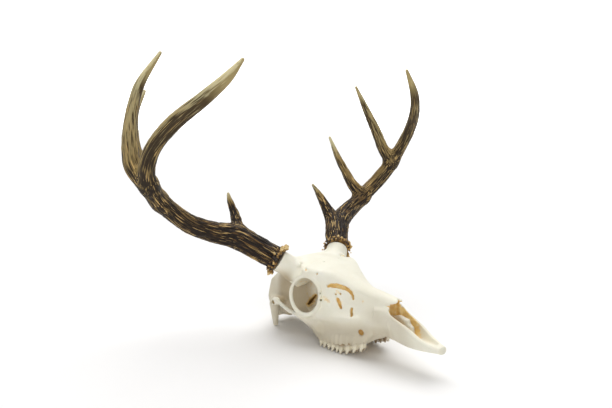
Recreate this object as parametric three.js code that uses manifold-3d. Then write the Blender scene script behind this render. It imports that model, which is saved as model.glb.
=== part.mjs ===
// Cleaned skull of a white-tailed buck, without its lower jaw, carrying an eight-point rack.
// It rests on its molars and on the two processes beside the foramen magnum, nose slightly up.
// Lengths are in millimetres. The skull is laid out by three numbers: fore, from the occiput
// towards the nose; side, from the midplane towards the animal's left; and up, from the
// chewing plane. The finished part has +X to the animal's left, its nose towards -Y and +Z up.
import * as THREE from "three";
import { mergeVertices } from "three/addons/utils/BufferGeometryUtils.js";
import Module from "manifold-3d";

const wasm = await Module();
wasm.setup();

// ---- Driving dimensions ----

const SKULL_LENGTH = 290; // occiput to the tip of the premaxillae
const PITCH = THREE.MathUtils.degToRad(8.5); // nose up, as the skull rests
const REST_UP = 23.05; // resting plane above the chewing plane, at the occiput
const SEAM = 0.3; // thin cut between two parts
const CENTRE = { left: -3.5, back: -100.8 }; // middle of the whole, from the foot of the midplane

const ORBIT = { fore: 114.5, side: 48.8, up: 76.8, radius: 20.8, depth: 34 };
const ORBIT_SHAPE = { squash: 0.89, narrowing: 0.34, rim: 2.8, upperRim: 1.8 };
const ORBIT_AXIS = new THREE.Vector3(0.33, 0.92, 0.12).normalize();
const BRAINCASE = { fore: 50, up: 75, length: 46, breadth: 33, height: 37 };
const PEDICLE = { root: [86, 33, 101], top: [73, 55.5, 121.5], rootRadius: 17, topRadius: 15 };
const BURR = { radius: 21, depth: 9 };
const BEAM_START = 0.29; // where the beam leaves the burr, counted in its stations
const STATION_LENGTH = 26; // about the length of beam from one station to the next
const TINE_ROOM = 1; // space left round the beam at the foot of a tine
const NASAL_END = 233; // fore end of the nasal bones
const NOSE_OPENING = 224; // where the side walls of the nose stop reaching the nasal bones
const PROCESS = [[26, 32.5, 52, 7.5], [22, 31, 37, 5.2], [17.5, 27.5, 17, 3.2]]; // paracondylar
const ARCH = [[38, 39, 63], [48, 45, 62], [66, 48.5, 56.5], [82, 52, 52.5], [97, 53.5, 51]];
const ARCH_RADIUS = 2.6;
const JUGAL = { back: [102, 50, 48], fore: [121, 37, 36], backRadius: 4.5, foreRadius: 10 };
const ARCHED = { frontal: 0.0072, nasal: 0.045 }; // fall of the roof for each square millimetre aside

// Planes and blocks of the thin cuts that part the skull.
const FACE_BACK = 127;
const MOLAR_BACK = 106;
const MOLAR_TOP = 44;
const MOLAR_SIDE = 47;
const MUZZLE_BACK = 214;
const CHEEKBONE = { back: 30, side: 40, low: 30, high: 80 };
const POSTORBITAL = { back: 84, side: 48, high: 93 };
const NASAL_CUT = { back: 152, backUp: 92, foreUp: 62, side: 13, height: 30 };

// Lines of the skull against fore: heights, half-breadths and lower edges.
const TOP_LINE = [[0, 88], [20, 100], [45, 112], [70, 121.5], [90, 123], [112, 118], [132, 110.5],
  [147, 103.5], [160, 96], [174, 89], [188, 83.2], [201, 80], [216, 75.8], [236, 70.5]];
const ROOF_BREADTH = [[40, 22], [62, 36], [78, 46], [94, 51], [110, 50], [125, 42], [139, 31],
  [152, 24], [168, 18.5], [186, 15], [210, 12.5], [236, 10]];
const MIDDLE_LINE = [[112, 54], [140, 50], [165, 44], [190, 42], [215, 44], [236, 42]];
const CHEEK_BREADTH = [[100, 41], [118, 43], [135, 41.5], [150, 37.5], [166, 32], [182, 27],
  [197, 22.5], [215, 18], [236, 15], [256, 14.5], [275, 12], [292, 6]];
const GUM_BREADTH = [[100, 31], [120, 35.5], [145, 35.5], [165, 31], [190, 25], [205, 18.5],
  [222, 15], [256, 14.5], [275, 12], [292, 5]];
const LOWER_EDGE = [[100, 22], [118, 17], [150, 13.5], [188, 15], [200, 21.5], [214, 26],
  [232, 24], [250, 18.5], [270, 16], [292, 14]];
const NOSE_EDGE = [[205, 62], [224, 59.5], [241, 50], [254, 40], [267, 30], [280, 24], [292, 19]];

// Cheek teeth of one side, from the last molar forward: middle and half-length along fore.
const TEETH = [[119, 7.6], [135.5, 7.8], [151, 7], [164, 5.2], [174.6, 5], [184.6, 4.7]];
const TOOTH_SIDE = [[112, 30], [150, 28.5], [190, 20.5]];
const TOOTH = { halfBreadth: 5.6, root: 24, neck: 0.86, sides: 8 };
const PREMOLARS_FROM = 158;
const PREMOLAR_RISE = 0.52; // rise of the chewing edge for each millimetre forward of that

// Antlers: [fore, side, up, radius] from the burr, or from the fork, out to the tip.
const RIGHT = {
  beam: [[73, -55.5, 121.5, 16], [53, -75, 141, 16.2], [35, -92, 157, 16], [23, -122, 168, 14],
    [20, -156, 183, 12.4], [25, -187, 206, 11.5], [40, -214, 229, 11.5], [58, -228, 254, 10],
    [76, -227, 277, 9.3], [104, -213, 303, 9.4], [135, -186, 329, 8], [151, -166, 348, 5.6],
    [157, -145, 370, 1.3]],
  brow: [[34, -90, 156, 12], [28, -87, 175, 8], [20, -84, 190, 5.6], [12, -84, 207, 4],
    [5, -81, 218, 1.2]],
  second: [[29, -199, 214, 9.5], [14, -212, 259, 8.5], [-5, -210, 296, 7.5], [-20.5, -198, 332, 5.5],
    [-29, -175, 364, 1.2]],
  third: [[45, -221, 236, 10.5], [34, -232, 258, 10.5], [27, -231, 281, 10], [18, -222, 318, 8],
    [14, -213, 342, 6.4], [13, -202, 365, 5.3], [18, -172, 406, 1.2]],
  forks: { brow: 2.15, second: 5.15, third: 6.75 },
};
const LEFT = {
  beam: [[73, 55.5, 121.5, 16], [55, 76, 138, 15.8], [39, 97, 154, 15.5], [26, 127, 168, 14],
    [21, 157, 181, 12.4], [23, 186, 199, 12], [41, 215, 230, 11.5], [59, 226, 257, 10],
    [79, 223, 276, 9], [104, 212, 297, 8.6], [135, 186, 320, 7.4], [151, 166, 342, 5.6],
    [158, 144, 373, 1.3]],
  brow: [[47, 84, 148, 12], [38, 87, 160, 11.5], [30, 87, 172, 9.5], [22, 85, 187, 7.2],
    [14, 83, 203, 4.8], [6, 79, 219, 1.2]],
  second: [[22, 175, 190, 10.5], [14, 161, 213, 8.5], [5, 158, 231, 7.2], [-10, 157, 258, 5.5],
    [-32, 162, 297, 1.2]],
  third: [[50, 221, 244, 10.5], [40, 213, 272, 9], [32, 210, 298, 8], [22, 201, 336, 5.5],
    [18, 184, 376, 1.2]],
  forks: { brow: 2.2, second: 4.55, third: 6.5 },
};

// How fine each surface is: cells in millimetres, and facets round and along the horn.
const CELL = { braincase: 9.4, face: 9.2, nasal: 5, muzzle: 5.2, cheekbone: 4 };
const BEAM_MESH = { sides: 10, pace: 19 };
const TINE_MESH = { sides: 8, pace: 22 };

const BONE = { color: 0xf1ede0, roughness: 0.6, metalness: 0 };
const ANTLER = { color: 0x5a4326, roughness: 0.7, metalness: 0 };

// ---- Numbers along a line ----

function along(line, at) {
  // A smooth value between named stations, flat in slope outside them.
  if (at <= line[0][0]) return line[0][1];
  const last = line.length - 1;
  if (at >= line[last][0]) return line[last][1];
  let i = 0;
  while (at > line[i + 1][0]) i += 1;
  const slope = (j) => {
    const a = line[Math.max(j - 1, 0)];
    const b = line[Math.min(j + 1, last)];
    return (b[1] - a[1]) / (b[0] - a[0]);
  };
  const width = line[i + 1][0] - line[i][0];
  const t = (at - line[i][0]) / width;
  const rise = line[i + 1][1] - line[i][1];
  const curve = t * t * (3 - 2 * t);
  const lead = t * (1 - t) * (1 - t) * slope(i) * width;
  const trail = t * t * (t - 1) * slope(i + 1) * width;
  return line[i][1] + curve * rise + lead + trail;
}

// ---- Distances to simple shapes: negative inside, in millimetres ----

function join(a, b, k) {
  const h = Math.max(k - Math.abs(a - b), 0) / k;
  return Math.min(a, b) - (h * h * k) / 4;
}

function carve(a, b, k) {
  return -join(-a, b, k);
}

function egg(p, c, r) {
  const x = (p[0] - c[0]) / r[0];
  const y = (p[1] - c[1]) / r[1];
  const z = (p[2] - c[2]) / r[2];
  const near = Math.hypot(x, y, z);
  const steep = Math.hypot(x / r[0], y / r[1], z / r[2]);
  return steep > 1e-9 ? (near * (near - 1)) / steep : -Math.min(...r);
}

function rod(p, a, b, ra, rb) {
  const ab = [b[0] - a[0], b[1] - a[1], b[2] - a[2]];
  const ap = [p[0] - a[0], p[1] - a[1], p[2] - a[2]];
  const reach = ab[0] * ab[0] + ab[1] * ab[1] + ab[2] * ab[2];
  const t = Math.min(Math.max((ap[0] * ab[0] + ap[1] * ab[1] + ap[2] * ab[2]) / reach, 0), 1);
  const away = Math.hypot(ap[0] - t * ab[0], ap[1] - t * ab[1], ap[2] - t * ab[2]);
  return away - (ra + t * (rb - ra));
}

function chain(p, points, radius) {
  let best = Infinity;
  for (let i = 0; i + 1 < points.length; i += 1) {
    best = Math.min(best, rod(p, points[i], points[i + 1], radius, radius));
  }
  return best;
}

function trapezoid(a, z, low, high, lowBreadth, highBreadth, round) {
  // Cross-section with straight flanks and round corners, mirrored about the midplane.
  const half = Math.max((high - low) / 2 - round, 0.5);
  const b0 = Math.max(lowBreadth - round, 0.5);
  const b1 = Math.max(highBreadth - round, 0.5);
  const y = z - (low + high) / 2;
  const x = Math.abs(a);
  const capX = x - Math.min(x, y < 0 ? b0 : b1);
  const capY = Math.abs(y) - half;
  const kx = b1 - b0;
  const ky = 2 * half;
  const t = Math.min(Math.max(((b1 - x) * kx + (half - y) * ky) / (kx * kx + ky * ky), 0), 1);
  const sideX = x - b1 + kx * t;
  const sideY = y - half + ky * t;
  const inside = sideX < 0 && capY < 0 ? -1 : 1;
  return inside * Math.sqrt(Math.min(capX ** 2 + capY ** 2, sideX ** 2 + sideY ** 2)) - round;
}

// ---- The bones, each a distance at p = [fore, side, up], side counted away from the midplane ----

function fromOrbit(p) {
  // How far p lies from the orbit's axis, and how far out along it.
  const d = [p[0] - ORBIT.fore, p[1] - ORBIT.side, p[2] - ORBIT.up];
  const n = ORBIT_AXIS.toArray();
  const out = d[0] * n[0] + d[1] * n[1] + d[2] * n[2];
  const upward = (d[2] - out * n[2]) * ORBIT_SHAPE.squash;
  return [Math.hypot(d[0] - out * n[0], d[1] - out * n[1], upward), out];
}

function orbitRim(p) {
  // A round bar about the opening, thinner under the eyebrow.
  const [away, out] = fromOrbit(p);
  const { rim, upperRim } = ORBIT_SHAPE;
  const brow = THREE.MathUtils.smoothstep(p[2] - ORBIT.up, 5, 18);
  const radius = rim + (upperRim - rim) * brow;
  return Math.hypot(away - ORBIT.radius - radius, out) - radius;
}

function orbitHollow(p) {
  const [away, out] = fromOrbit(p);
  const narrowing = Math.max(0, -out) * ORBIT_SHAPE.narrowing;
  return Math.max(away - ORBIT.radius + narrowing, -out - ORBIT.depth);
}

function braincase(p) {
  const b = BRAINCASE;
  let d = egg(p, [b.fore, 0, b.up], [b.length, b.breadth, b.height]);
  d = join(d, egg(p, [19, 0, 62], [14, 31, 31]), 8); // occiput
  d = join(d, chain(p, [[12, 0, 90], [14, 20, 84], [18, 31, 64], [20, 30, 50]], 4.5), 6); // crest
  d = join(d, rod(p, [7, 12, 38], [18, 15, 42], 8, 7), 4); // condyle
  d = join(d, rod(p, [12, 0, 42], [88, 0, 46], 10, 8), 8); // base
  d = join(d, egg(p, [42, 20, 45], [12, 8, 9]), 4); // bulla
  return join(d, rod(p, [30, 34, 58], [44, 37, 60], 8, 6), 6); // root of the arch
}

function roof(p) {
  // Frontal and nasal bones: a plate that narrows from above the orbits to the nose.
  const [f, a, z] = p;
  const top = along(TOP_LINE, f);
  const breadth = along(ROOF_BREADTH, f);
  const frontal = ARCHED.frontal * THREE.MathUtils.smoothstep(f, 66, 104);
  const nasal = ARCHED.nasal * THREE.MathUtils.smoothstep(f, 140, 190);
  const fall = (frontal + nasal) * Math.min(a, 60) ** 2;
  const shape = trapezoid(a, z + fall, top - 26, top, breadth * 0.94, breadth, 7);
  return Math.max(shape, 40 - f, f - NASAL_END);
}

function pedicle(p) {
  const { root, top, rootRadius, topRadius } = PEDICLE;
  const reach = Math.hypot(top[0] - root[0], top[1] - root[1], top[2] - root[2]);
  const beyond = p.reduce((sum, v, i) => sum + ((v - top[i]) * (top[i] - root[i])) / reach, 0);
  return Math.max(rod(p, root, top, rootRadius, topRadius), beyond);
}

function face(p) {
  // Maxilla and lacrimal: widest at a middle line, in to the gums below and the roof above.
  const [f, a, z] = p;
  const low = along(LOWER_EDGE, f);
  const middle = along(MIDDLE_LINE, f);
  const high = along(TOP_LINE, f) - 5 - 3 * THREE.MathUtils.smoothstep(f, 150, 190);
  const cheek = along(CHEEK_BREADTH, f);
  const under = trapezoid(a, z, low, middle + 7, along(GUM_BREADTH, f), cheek, 6);
  const over = trapezoid(a, z, middle - 7, high, cheek, along(ROOF_BREADTH, f), 6);
  return Math.max(join(under, over, 6), 111 - f, f - NOSE_OPENING);
}

function core(p) {
  // The narrow wall between the orbits, the palate bones and the tuber behind the last molar.
  let d = egg(p, [100, 0, 80], [42, 15, 30]);
  d = join(d, rod(p, [84, 13, 46], [112, 17, 36], 5, 8), 8);
  d = join(d, rod(p, [90, 14, 31], [100, 16, 46], 3.5, 5), 5);
  return join(d, egg(p, [114, 27, 34], [14, 12, 18]), 8);
}

function cheekbone(p) {
  // Zygomatic arch behind the orbit, and the jugal below it down to the gum.
  const jugal = rod(p, JUGAL.back, JUGAL.fore, JUGAL.backRadius, JUGAL.foreRadius);
  return join(chain(p, ARCH, ARCH_RADIUS), jugal, 6);
}

function muzzle(p) {
  const [f, a, z] = p;
  const shape = trapezoid(a, z, along(LOWER_EDGE, f), along(NOSE_EDGE, f),
    along(GUM_BREADTH, f), along(CHEEK_BREADTH, f), 3.5);
  return Math.max(shape, 205 - f, f - SKULL_LENGTH);
}

function noseHollow(p) {
  const [f, a, z] = p;
  const low = along(LOWER_EDGE, f) + 6;
  const high = f < NOSE_OPENING ? along(TOP_LINE, f) - 7 : along(NOSE_EDGE, f) + 20;
  const breadth = along(CHEEK_BREADTH, f) - 4.5;
  const upper = f < NOSE_OPENING ? along(ROOF_BREADTH, f) - 4 : breadth;
  const shape = trapezoid(a, z, low, Math.min(high, along(TOP_LINE, f) - 4), breadth * 0.7, upper, 3);
  return Math.max(shape, 207 - f, f - 281);
}

function skull(fore, side, up) {
  const p = [fore, Math.abs(side), up];
  let d = join(braincase(p), roof(p), 10);
  d = join(d, pedicle(p), 8);
  d = join(d, core(p), 8);
  d = join(d, face(p), 8);
  d = join(d, muzzle(p), 5);
  d = carve(d, orbitHollow(p), 4);
  d = join(d, orbitRim(p), 5);
  d = join(d, cheekbone(p), 5);
  d = carve(d, noseHollow(p), 2);
  d = carve(d, rod(p, [-8, 0, 52], [30, 0, 54], 9.5, 8), 3); // foramen magnum
  return carve(d, egg(p, [150, 0, 8], [52, 19, 9]), 4); // vault of the palate
}

// ---- Closed surface of a distance, on a grid of cells ----

const CORNERS = [0, 1, 2, 3, 4, 5, 6, 7].map((c) => [c & 1, (c >> 1) & 1, (c >> 2) & 1]);
const FACES = [[0, 1, 3, 2], [4, 5, 7, 6], [0, 1, 5, 4], [2, 3, 7, 6], [0, 2, 6, 4], [1, 3, 7, 5]];
const EDGES = [];
for (let a = 0; a < 8; a += 1) {
  for (const bit of [1, 2, 4]) {
    if (!(a & bit)) EDGES.push([a, a | bit]);
  }
}

function surface(distance, low, high, cell) {
  const count = low.map((v, i) => Math.ceil((high[i] - v) / cell) + 1);
  const step = low.map((v, i) => (high[i] - v) / (count[i] - 1));
  const place = (i, j, k) => (k * count[1] + j) * count[0] + i;
  const value = new Float64Array(count[0] * count[1] * count[2]);
  const outer = (i, n) => i === 0 || i === n - 1;
  for (let k = 0; k < count[2]; k += 1) {
    for (let j = 0; j < count[1]; j += 1) {
      for (let i = 0; i < count[0]; i += 1) {
        const at = distance(low[0] + i * step[0], low[1] + j * step[1], low[2] + k * step[2]);
        const edge = outer(i, count[0]) || outer(j, count[1]) || outer(k, count[2]);
        value[place(i, j, k)] = edge ? Math.max(at, cell * 0.05) : at;
      }
    }
  }
  // Every cell is left with one sheet of surface: no two corners of one sign meet only across
  // a face or across the cell.
  const turn = (at) => {
    value[at] = value[at] < 0 ? cell * 0.03 : -cell * 0.03;
  };
  const eachCell = (visit) => {
    for (let k = 0; k + 1 < count[2]; k += 1) {
      for (let j = 0; j + 1 < count[1]; j += 1) {
        for (let i = 0; i + 1 < count[0]; i += 1) {
          visit(CORNERS.map((c) => place(i + c[0], j + c[1], k + c[2])), i, j, k);
        }
      }
    }
  };
  for (let pass = 0, changed = true; changed && pass < 40; pass += 1) {
    changed = false;
    eachCell((at) => {
      for (const face of FACES) {
        const s = face.map((c) => value[at[c]] < 0);
        if (s[0] === s[2] && s[1] === s[3] && s[0] !== s[1]) {
          const out = s[0] ? 1 : 0;
          const a = at[face[out]];
          const b = at[face[out + 2]];
          turn(value[a] < value[b] ? a : b);
          changed = true;
        }
      }
      const inside = at.filter((v) => value[v] < 0);
      const lone = inside.length === 2 ? inside : inside.length === 6 ? at.filter((v) => value[v] >= 0) : [];
      if (lone.length === 2 && at.indexOf(lone[0]) + at.indexOf(lone[1]) === 7) {
        turn(lone[0]);
        changed = true;
      }
    });
  }
  const vertexOf = new Map();
  const vertices = [];
  const nudge = cell * 0.2;
  eachCell((at, i, j, k) => {
    const sum = [0, 0, 0];
    let crossings = 0;
    for (const [a, b] of EDGES) {
      const va = value[at[a]];
      const vb = value[at[b]];
      if (va < 0 === vb < 0) continue;
      const t = va / (va - vb);
      for (let n = 0; n < 3; n += 1) sum[n] += CORNERS[a][n] + t * (CORNERS[b][n] - CORNERS[a][n]);
      crossings += 1;
    }
    if (!crossings) return;
    const cellLow = [low[0] + i * step[0], low[1] + j * step[1], low[2] + k * step[2]];
    const v = sum.map((s, n) => cellLow[n] + (s / crossings) * step[n]);
    for (let turnNumber = 0; turnNumber < 3; turnNumber += 1) {
      const d = distance(...v);
      const slope = [0, 1, 2].map((n) => {
        const moved = [...v];
        moved[n] += nudge;
        return (distance(...moved) - d) / nudge;
      });
      const steep = slope[0] ** 2 + slope[1] ** 2 + slope[2] ** 2;
      if (steep < 0.05) break;
      for (let n = 0; n < 3; n += 1) {
        const to = v[n] - (d * slope[n]) / steep;
        v[n] = Math.min(Math.max(to, cellLow[n] + 0.04 * step[n]), cellLow[n] + 0.96 * step[n]);
      }
    }
    vertexOf.set(place(i, j, k), vertices.length / 3);
    vertices.push(...v);
  });
  const triangles = [];
  for (let k = 0; k < count[2]; k += 1) {
    for (let j = 0; j < count[1]; j += 1) {
      for (let i = 0; i < count[0]; i += 1) {
        const inside = value[place(i, j, k)] < 0;
        for (let axis = 0; axis < 3; axis += 1) {
          const next = [i, j, k];
          next[axis] += 1;
          if (next[axis] >= count[axis] || value[place(...next)] < 0 === inside) continue;
          const u = (axis + 1) % 3;
          const w = (axis + 2) % 3;
          const ring = [[0, 0], [-1, 0], [-1, -1], [0, -1]].map(([du, dw]) => {
            const c = [i, j, k];
            c[u] += du;
            c[w] += dw;
            return vertexOf.get(place(...c));
          });
          if (!inside) ring.reverse();
          triangles.push(ring[0], ring[1], ring[2], ring[0], ring[2], ring[3]);
        }
      }
    }
  }
  return new wasm.Manifold(new wasm.Mesh({
    numProp: 3,
    vertProperties: new Float32Array(vertices),
    triVerts: new Uint32Array(triangles),
  }));
}

// ---- Solids and meshes ----

// The skull's own layout (fore, side, up) to the part's axes (X left, Y back, Z up).
const toPart = new THREE.Matrix4().set(0, 1, 0, 0, -1, 0, 0, 0, 0, 0, 1, 0, 0, 0, 0, 1);

function solidOf(geometry) {
  const bare = geometry.clone();
  bare.deleteAttribute("normal");
  bare.deleteAttribute("uv");
  const merged = mergeVertices(bare, 1e-4);
  return new wasm.Manifold(new wasm.Mesh({
    numProp: 3,
    vertProperties: merged.attributes.position.array,
    triVerts: new Uint32Array(merged.index.array),
  }));
}

function geometryOf(solid) {
  const mesh = solid.getMesh();
  const geometry = new THREE.BufferGeometry();
  geometry.setAttribute("position", new THREE.BufferAttribute(mesh.vertProperties, 3));
  geometry.setIndex(new THREE.BufferAttribute(mesh.triVerts, 1));
  geometry.applyMatrix4(toPart);
  geometry.computeVertexNormals();
  return geometry;
}

function block(low, high) {
  const size = high.map((v, i) => v - low[i]);
  const box = new THREE.BoxGeometry(...size);
  box.translate(...low.map((v, i) => v + size[i] / 2));
  return solidOf(box);
}

function frames(curve, stations, from, to, pace) {
  // Places, radii and square frames along a curve, with no twist between neighbours.
  const last = stations.length - 1;
  const radii = stations.map((s, i) => [i, s[3]]);
  const length = curve.getLength();
  const count = Math.max(3, Math.round(((to - from) / last) * (length / pace)));
  const rings = [];
  let normal = new THREE.Vector3(0, 0, 1);
  for (let i = 0; i <= count; i += 1) {
    const t = from + ((to - from) * i) / count;
    const ahead = curve.getTangent(t / last);
    normal = normal.clone().addScaledVector(ahead, -normal.dot(ahead)).normalize();
    const across = new THREE.Vector3().crossVectors(normal, ahead);
    rings.push({ at: curve.getPoint(t / last), ahead, normal, across, radius: along(radii, t) });
  }
  return rings;
}

function horn(stations, { from = 0, to = stations.length - 1, sides = 10, pace = 15, grow = 0 } = {}) {
  // A lathe of the radius against length, bent along the smooth curve through the stations.
  const curve = new THREE.CatmullRomCurve3(
    stations.map((s) => new THREE.Vector3(s[0], s[1], s[2])), false, "centripetal");
  const rings = frames(curve, stations, from, to, pace);
  const profile = [new THREE.Vector2(0, 0)];
  rings.forEach((ring, i) => profile.push(new THREE.Vector2(ring.radius + grow, i)));
  profile.push(new THREE.Vector2(0, rings.length - 1));
  const lathe = new THREE.LatheGeometry(profile, sides);
  const position = lathe.attributes.position;
  for (let i = 0; i < position.count; i += 1) {
    const ring = rings[Math.round(position.getY(i))];
    const place = ring.at.clone()
      .addScaledVector(ring.normal, position.getX(i))
      .addScaledVector(ring.across, position.getZ(i));
    position.setXYZ(i, place.x, place.y, place.z);
  }
  return solidOf(lathe);
}

function turnedBlock(size, centre, pitch) {
  // A block in skull layout, tipped nose-down by the pitch about the side axis.
  const box = new THREE.BoxGeometry(...size);
  box.rotateY(pitch);
  box.translate(...centre);
  return solidOf(box);
}

// ---- The parts of the skull ----

const SIDES = { left: 1, right: -1 };
const FAR = 400;

function nasalRegion(gap) {
  // Everything above a sloping plane just under the nasal bones, between their side sutures.
  const { back, backUp, foreUp, side, height } = NASAL_CUT;
  const run = NASAL_END + 4 - back;
  const slope = Math.atan2(backUp - foreUp, run);
  const length = run / Math.cos(slope);
  const middle = [back + run / 2, 0, (backUp + foreUp) / 2];
  const lift = height / 2;
  const centre = [middle[0] + lift * Math.sin(slope), 0, middle[2] + lift * Math.cos(slope)];
  return turnedBlock([length + 2 * gap, 2 * (side + gap), height + 2 * gap], centre, slope);
}

function outerBlock(sign, back, fore, side, low, high) {
  // A block from a plane at the side out past the skull, on the side given by the sign.
  const inner = sign * side;
  const outer = sign * FAR;
  return block([back, Math.min(inner, outer), low], [fore, Math.max(inner, outer), high]);
}

function cheekboneRegion(sign, gap) {
  const { back, side, low, high } = CHEEKBONE;
  const fore = FACE_BACK + gap;
  const arch = outerBlock(sign, back - gap, fore, side - gap, low - gap, high + gap);
  const bar = outerBlock(
    sign, POSTORBITAL.back - gap, fore, POSTORBITAL.side - gap, high - 1, POSTORBITAL.high + gap);
  return arch.add(bar);
}

function faceRegion(gap) {
  const maxilla = block([FACE_BACK - gap, -FAR, -FAR], [MUZZLE_BACK + gap, FAR, FAR]);
  const molars = block(
    [MOLAR_BACK - gap, -MOLAR_SIDE - gap, -FAR], [FACE_BACK + 10, MOLAR_SIDE + gap, MOLAR_TOP + gap]);
  return maxilla.add(molars);
}

function toothRow(sign) {
  // Tapered crowns that stand in the jaw down to the chewing edge.
  return TEETH.map(([fore, halfLength]) => {
    const rise = Math.max(0, fore - PREMOLARS_FROM) * PREMOLAR_RISE;
    const edge = REST_UP - fore * Math.tan(PITCH) + rise;
    const foot = rise > 0 ? edge : edge - 4;
    const height = TOOTH.root - foot;
    const crown = new THREE.CylinderGeometry(1, TOOTH.neck, height, TOOTH.sides);
    crown.rotateX(Math.PI / 2);
    crown.scale(halfLength, TOOTH.halfBreadth, 1);
    crown.translate(fore, sign * along(TOOTH_SIDE, fore), foot + height / 2);
    return solidOf(crown);
  });
}

function aboveFloor(solid) {
  // Level with the surface that the skull rests on, so that teeth and processes stand on flats.
  const depth = 60;
  const down = depth / 2 / Math.cos(PITCH);
  const floor = turnedBlock([2 * FAR, 2 * FAR, depth], [0, 0, REST_UP - down], PITCH);
  return solid.subtract(floor);
}

function skullParts() {
  const parts = new Map();
  const nasal = nasalRegion(SEAM);
  const rear = surface(skull, [-9, -72, 14], [137, 72, 137], CELL.braincase);
  let brain = rear.subtract(faceRegion(SEAM));
  for (const sign of Object.values(SIDES)) {
    const process = PROCESS.map(([fore, side, up, radius]) => [fore, sign * side, up, radius]);
    brain = brain.subtract(cheekboneRegion(sign, SEAM)).add(horn(process, { sides: 8, pace: 12 }));
  }
  for (const antler of [LEFT, RIGHT]) brain = brain.subtract(burrRoom(antler));
  parts.set("braincase", aboveFloor(brain));

  let face = surface(skull, [98, -62, 4], [223, 62, 127], CELL.face).intersect(faceRegion(0));
  for (const sign of Object.values(SIDES)) {
    for (const tooth of toothRow(sign)) face = face.add(tooth);
  }
  parts.set("maxilla_with_teeth", aboveFloor(face.subtract(nasal)));

  parts.set("nasal_bones", surface(skull, [142, -24, 50], [242, 24, 114], CELL.nasal)
    .intersect(nasalRegion(0)));

  const muzzleSurface = surface(skull, [205, -25, 5], [298, 25, 85], CELL.muzzle).subtract(nasal);
  for (const [name, sign] of Object.entries(SIDES)) {
    const half = block(
      [MUZZLE_BACK + SEAM, sign > 0 ? SEAM / 2 : -FAR, -FAR],
      [FAR, sign > 0 ? FAR : -SEAM / 2, FAR]);
    parts.set(`premaxilla_${name}`, muzzleSurface.intersect(half));

    const low = [22, sign > 0 ? 33 : -72, 22];
    const high = [134, sign > 0 ? 72 : -33, 102];
    const arch = surface(skull, low, high, CELL.cheekbone)
      .intersect(cheekboneRegion(sign, 0))
      .subtract(faceRegion(SEAM));
    parts.set(`cheekbone_${name}`, arch);
  }
  return parts;
}

// ---- The parts of an antler ----

function turned(profile, sides, antler) {
  // A lathe about the line of the beam, its zero at the foot of the burr.
  const [first, second] = antler.beam.map((s) => new THREE.Vector3(s[0], s[1], s[2]));
  const ahead = second.clone().sub(first).normalize();
  const lathe = new THREE.LatheGeometry(profile.map(([r, up]) => new THREE.Vector2(r, up)), sides);
  lathe.applyQuaternion(new THREE.Quaternion().setFromUnitVectors(new THREE.Vector3(0, 1, 0), ahead));
  lathe.translate(...first.toArray());
  return solidOf(lathe);
}

function burr(antler) {
  // The beaded collar at the foot of the antler, square to the beam.
  const { radius, depth } = BURR;
  const profile = [[0, 0], [0.82, 0], [1, 0.35], [1, 0.68], [0.84, 1], [0, 1]]
    .map(([r, up]) => [r * radius, up * depth]);
  return turned(profile, 14, antler);
}

function burrRoom(antler) {
  // What the skull leaves free above the top of the pedicle.
  const reach = BURR.radius * 1.4;
  return turned([[0, -SEAM], [reach, -SEAM], [reach, reach], [0, reach]], 14, antler);
}

function antlerParts(antler, name) {
  const parts = new Map();
  const { beam, forks } = antler;
  const gap = SEAM / STATION_LENGTH; // the thin cut, counted in stations of the beam
  const lengths = {
    base: [0, forks.brow],
    lower: [forks.brow, forks.second],
    middle: [forks.second, forks.third],
    tip: [forks.third, beam.length - 1],
  };
  parts.set(`burr_${name}`, burr(antler));
  for (const [part, [from, to]] of Object.entries(lengths)) {
    const start = from > 0 ? from + gap : BEAM_START;
    const end = part === "tip" ? to : to - gap;
    parts.set(`beam_${part}_${name}`, horn(beam, { ...BEAM_MESH, from: start, to: end }));
  }
  const room = horn(beam, { ...BEAM_MESH, grow: TINE_ROOM });
  for (const tine of ["brow", "second", "third"]) {
    parts.set(`tine_${tine}_${name}`, horn(antler[tine], TINE_MESH).subtract(room));
  }
  return parts;
}

// ---- The finished group ----

const group = new THREE.Group();
group.name = "deer_skull";
const resting = new THREE.Group();
resting.rotation.x = -PITCH;
resting.position.set(-CENTRE.left, -CENTRE.back, -REST_UP * Math.cos(PITCH));
group.add(resting);

function addParts(parts, look) {
  for (const [name, solid] of parts) {
    const mesh = new THREE.Mesh(geometryOf(solid), new THREE.MeshStandardMaterial(look));
    mesh.name = name;
    resting.add(mesh);
  }
}

addParts(skullParts(), BONE);
addParts(antlerParts(LEFT, "left"), ANTLER);
addParts(antlerParts(RIGHT, "right"), ANTLER);

export default group;
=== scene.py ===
import math
from functools import reduce

import bpy
import numpy as np
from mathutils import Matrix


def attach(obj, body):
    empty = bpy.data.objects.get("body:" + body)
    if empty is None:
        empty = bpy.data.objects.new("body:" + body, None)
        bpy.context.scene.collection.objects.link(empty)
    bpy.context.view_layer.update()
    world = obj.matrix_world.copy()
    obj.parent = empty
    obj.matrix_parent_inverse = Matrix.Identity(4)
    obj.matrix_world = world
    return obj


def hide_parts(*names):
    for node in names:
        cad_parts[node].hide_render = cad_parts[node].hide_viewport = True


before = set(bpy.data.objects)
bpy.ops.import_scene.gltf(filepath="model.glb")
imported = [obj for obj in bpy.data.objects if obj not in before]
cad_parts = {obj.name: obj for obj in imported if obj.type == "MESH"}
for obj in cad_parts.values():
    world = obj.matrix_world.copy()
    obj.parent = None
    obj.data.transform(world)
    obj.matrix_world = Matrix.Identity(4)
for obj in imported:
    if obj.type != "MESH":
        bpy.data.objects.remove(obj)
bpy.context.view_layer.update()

import openvdb
from mathutils import Matrix, Vector

scene = bpy.context.scene

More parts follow.
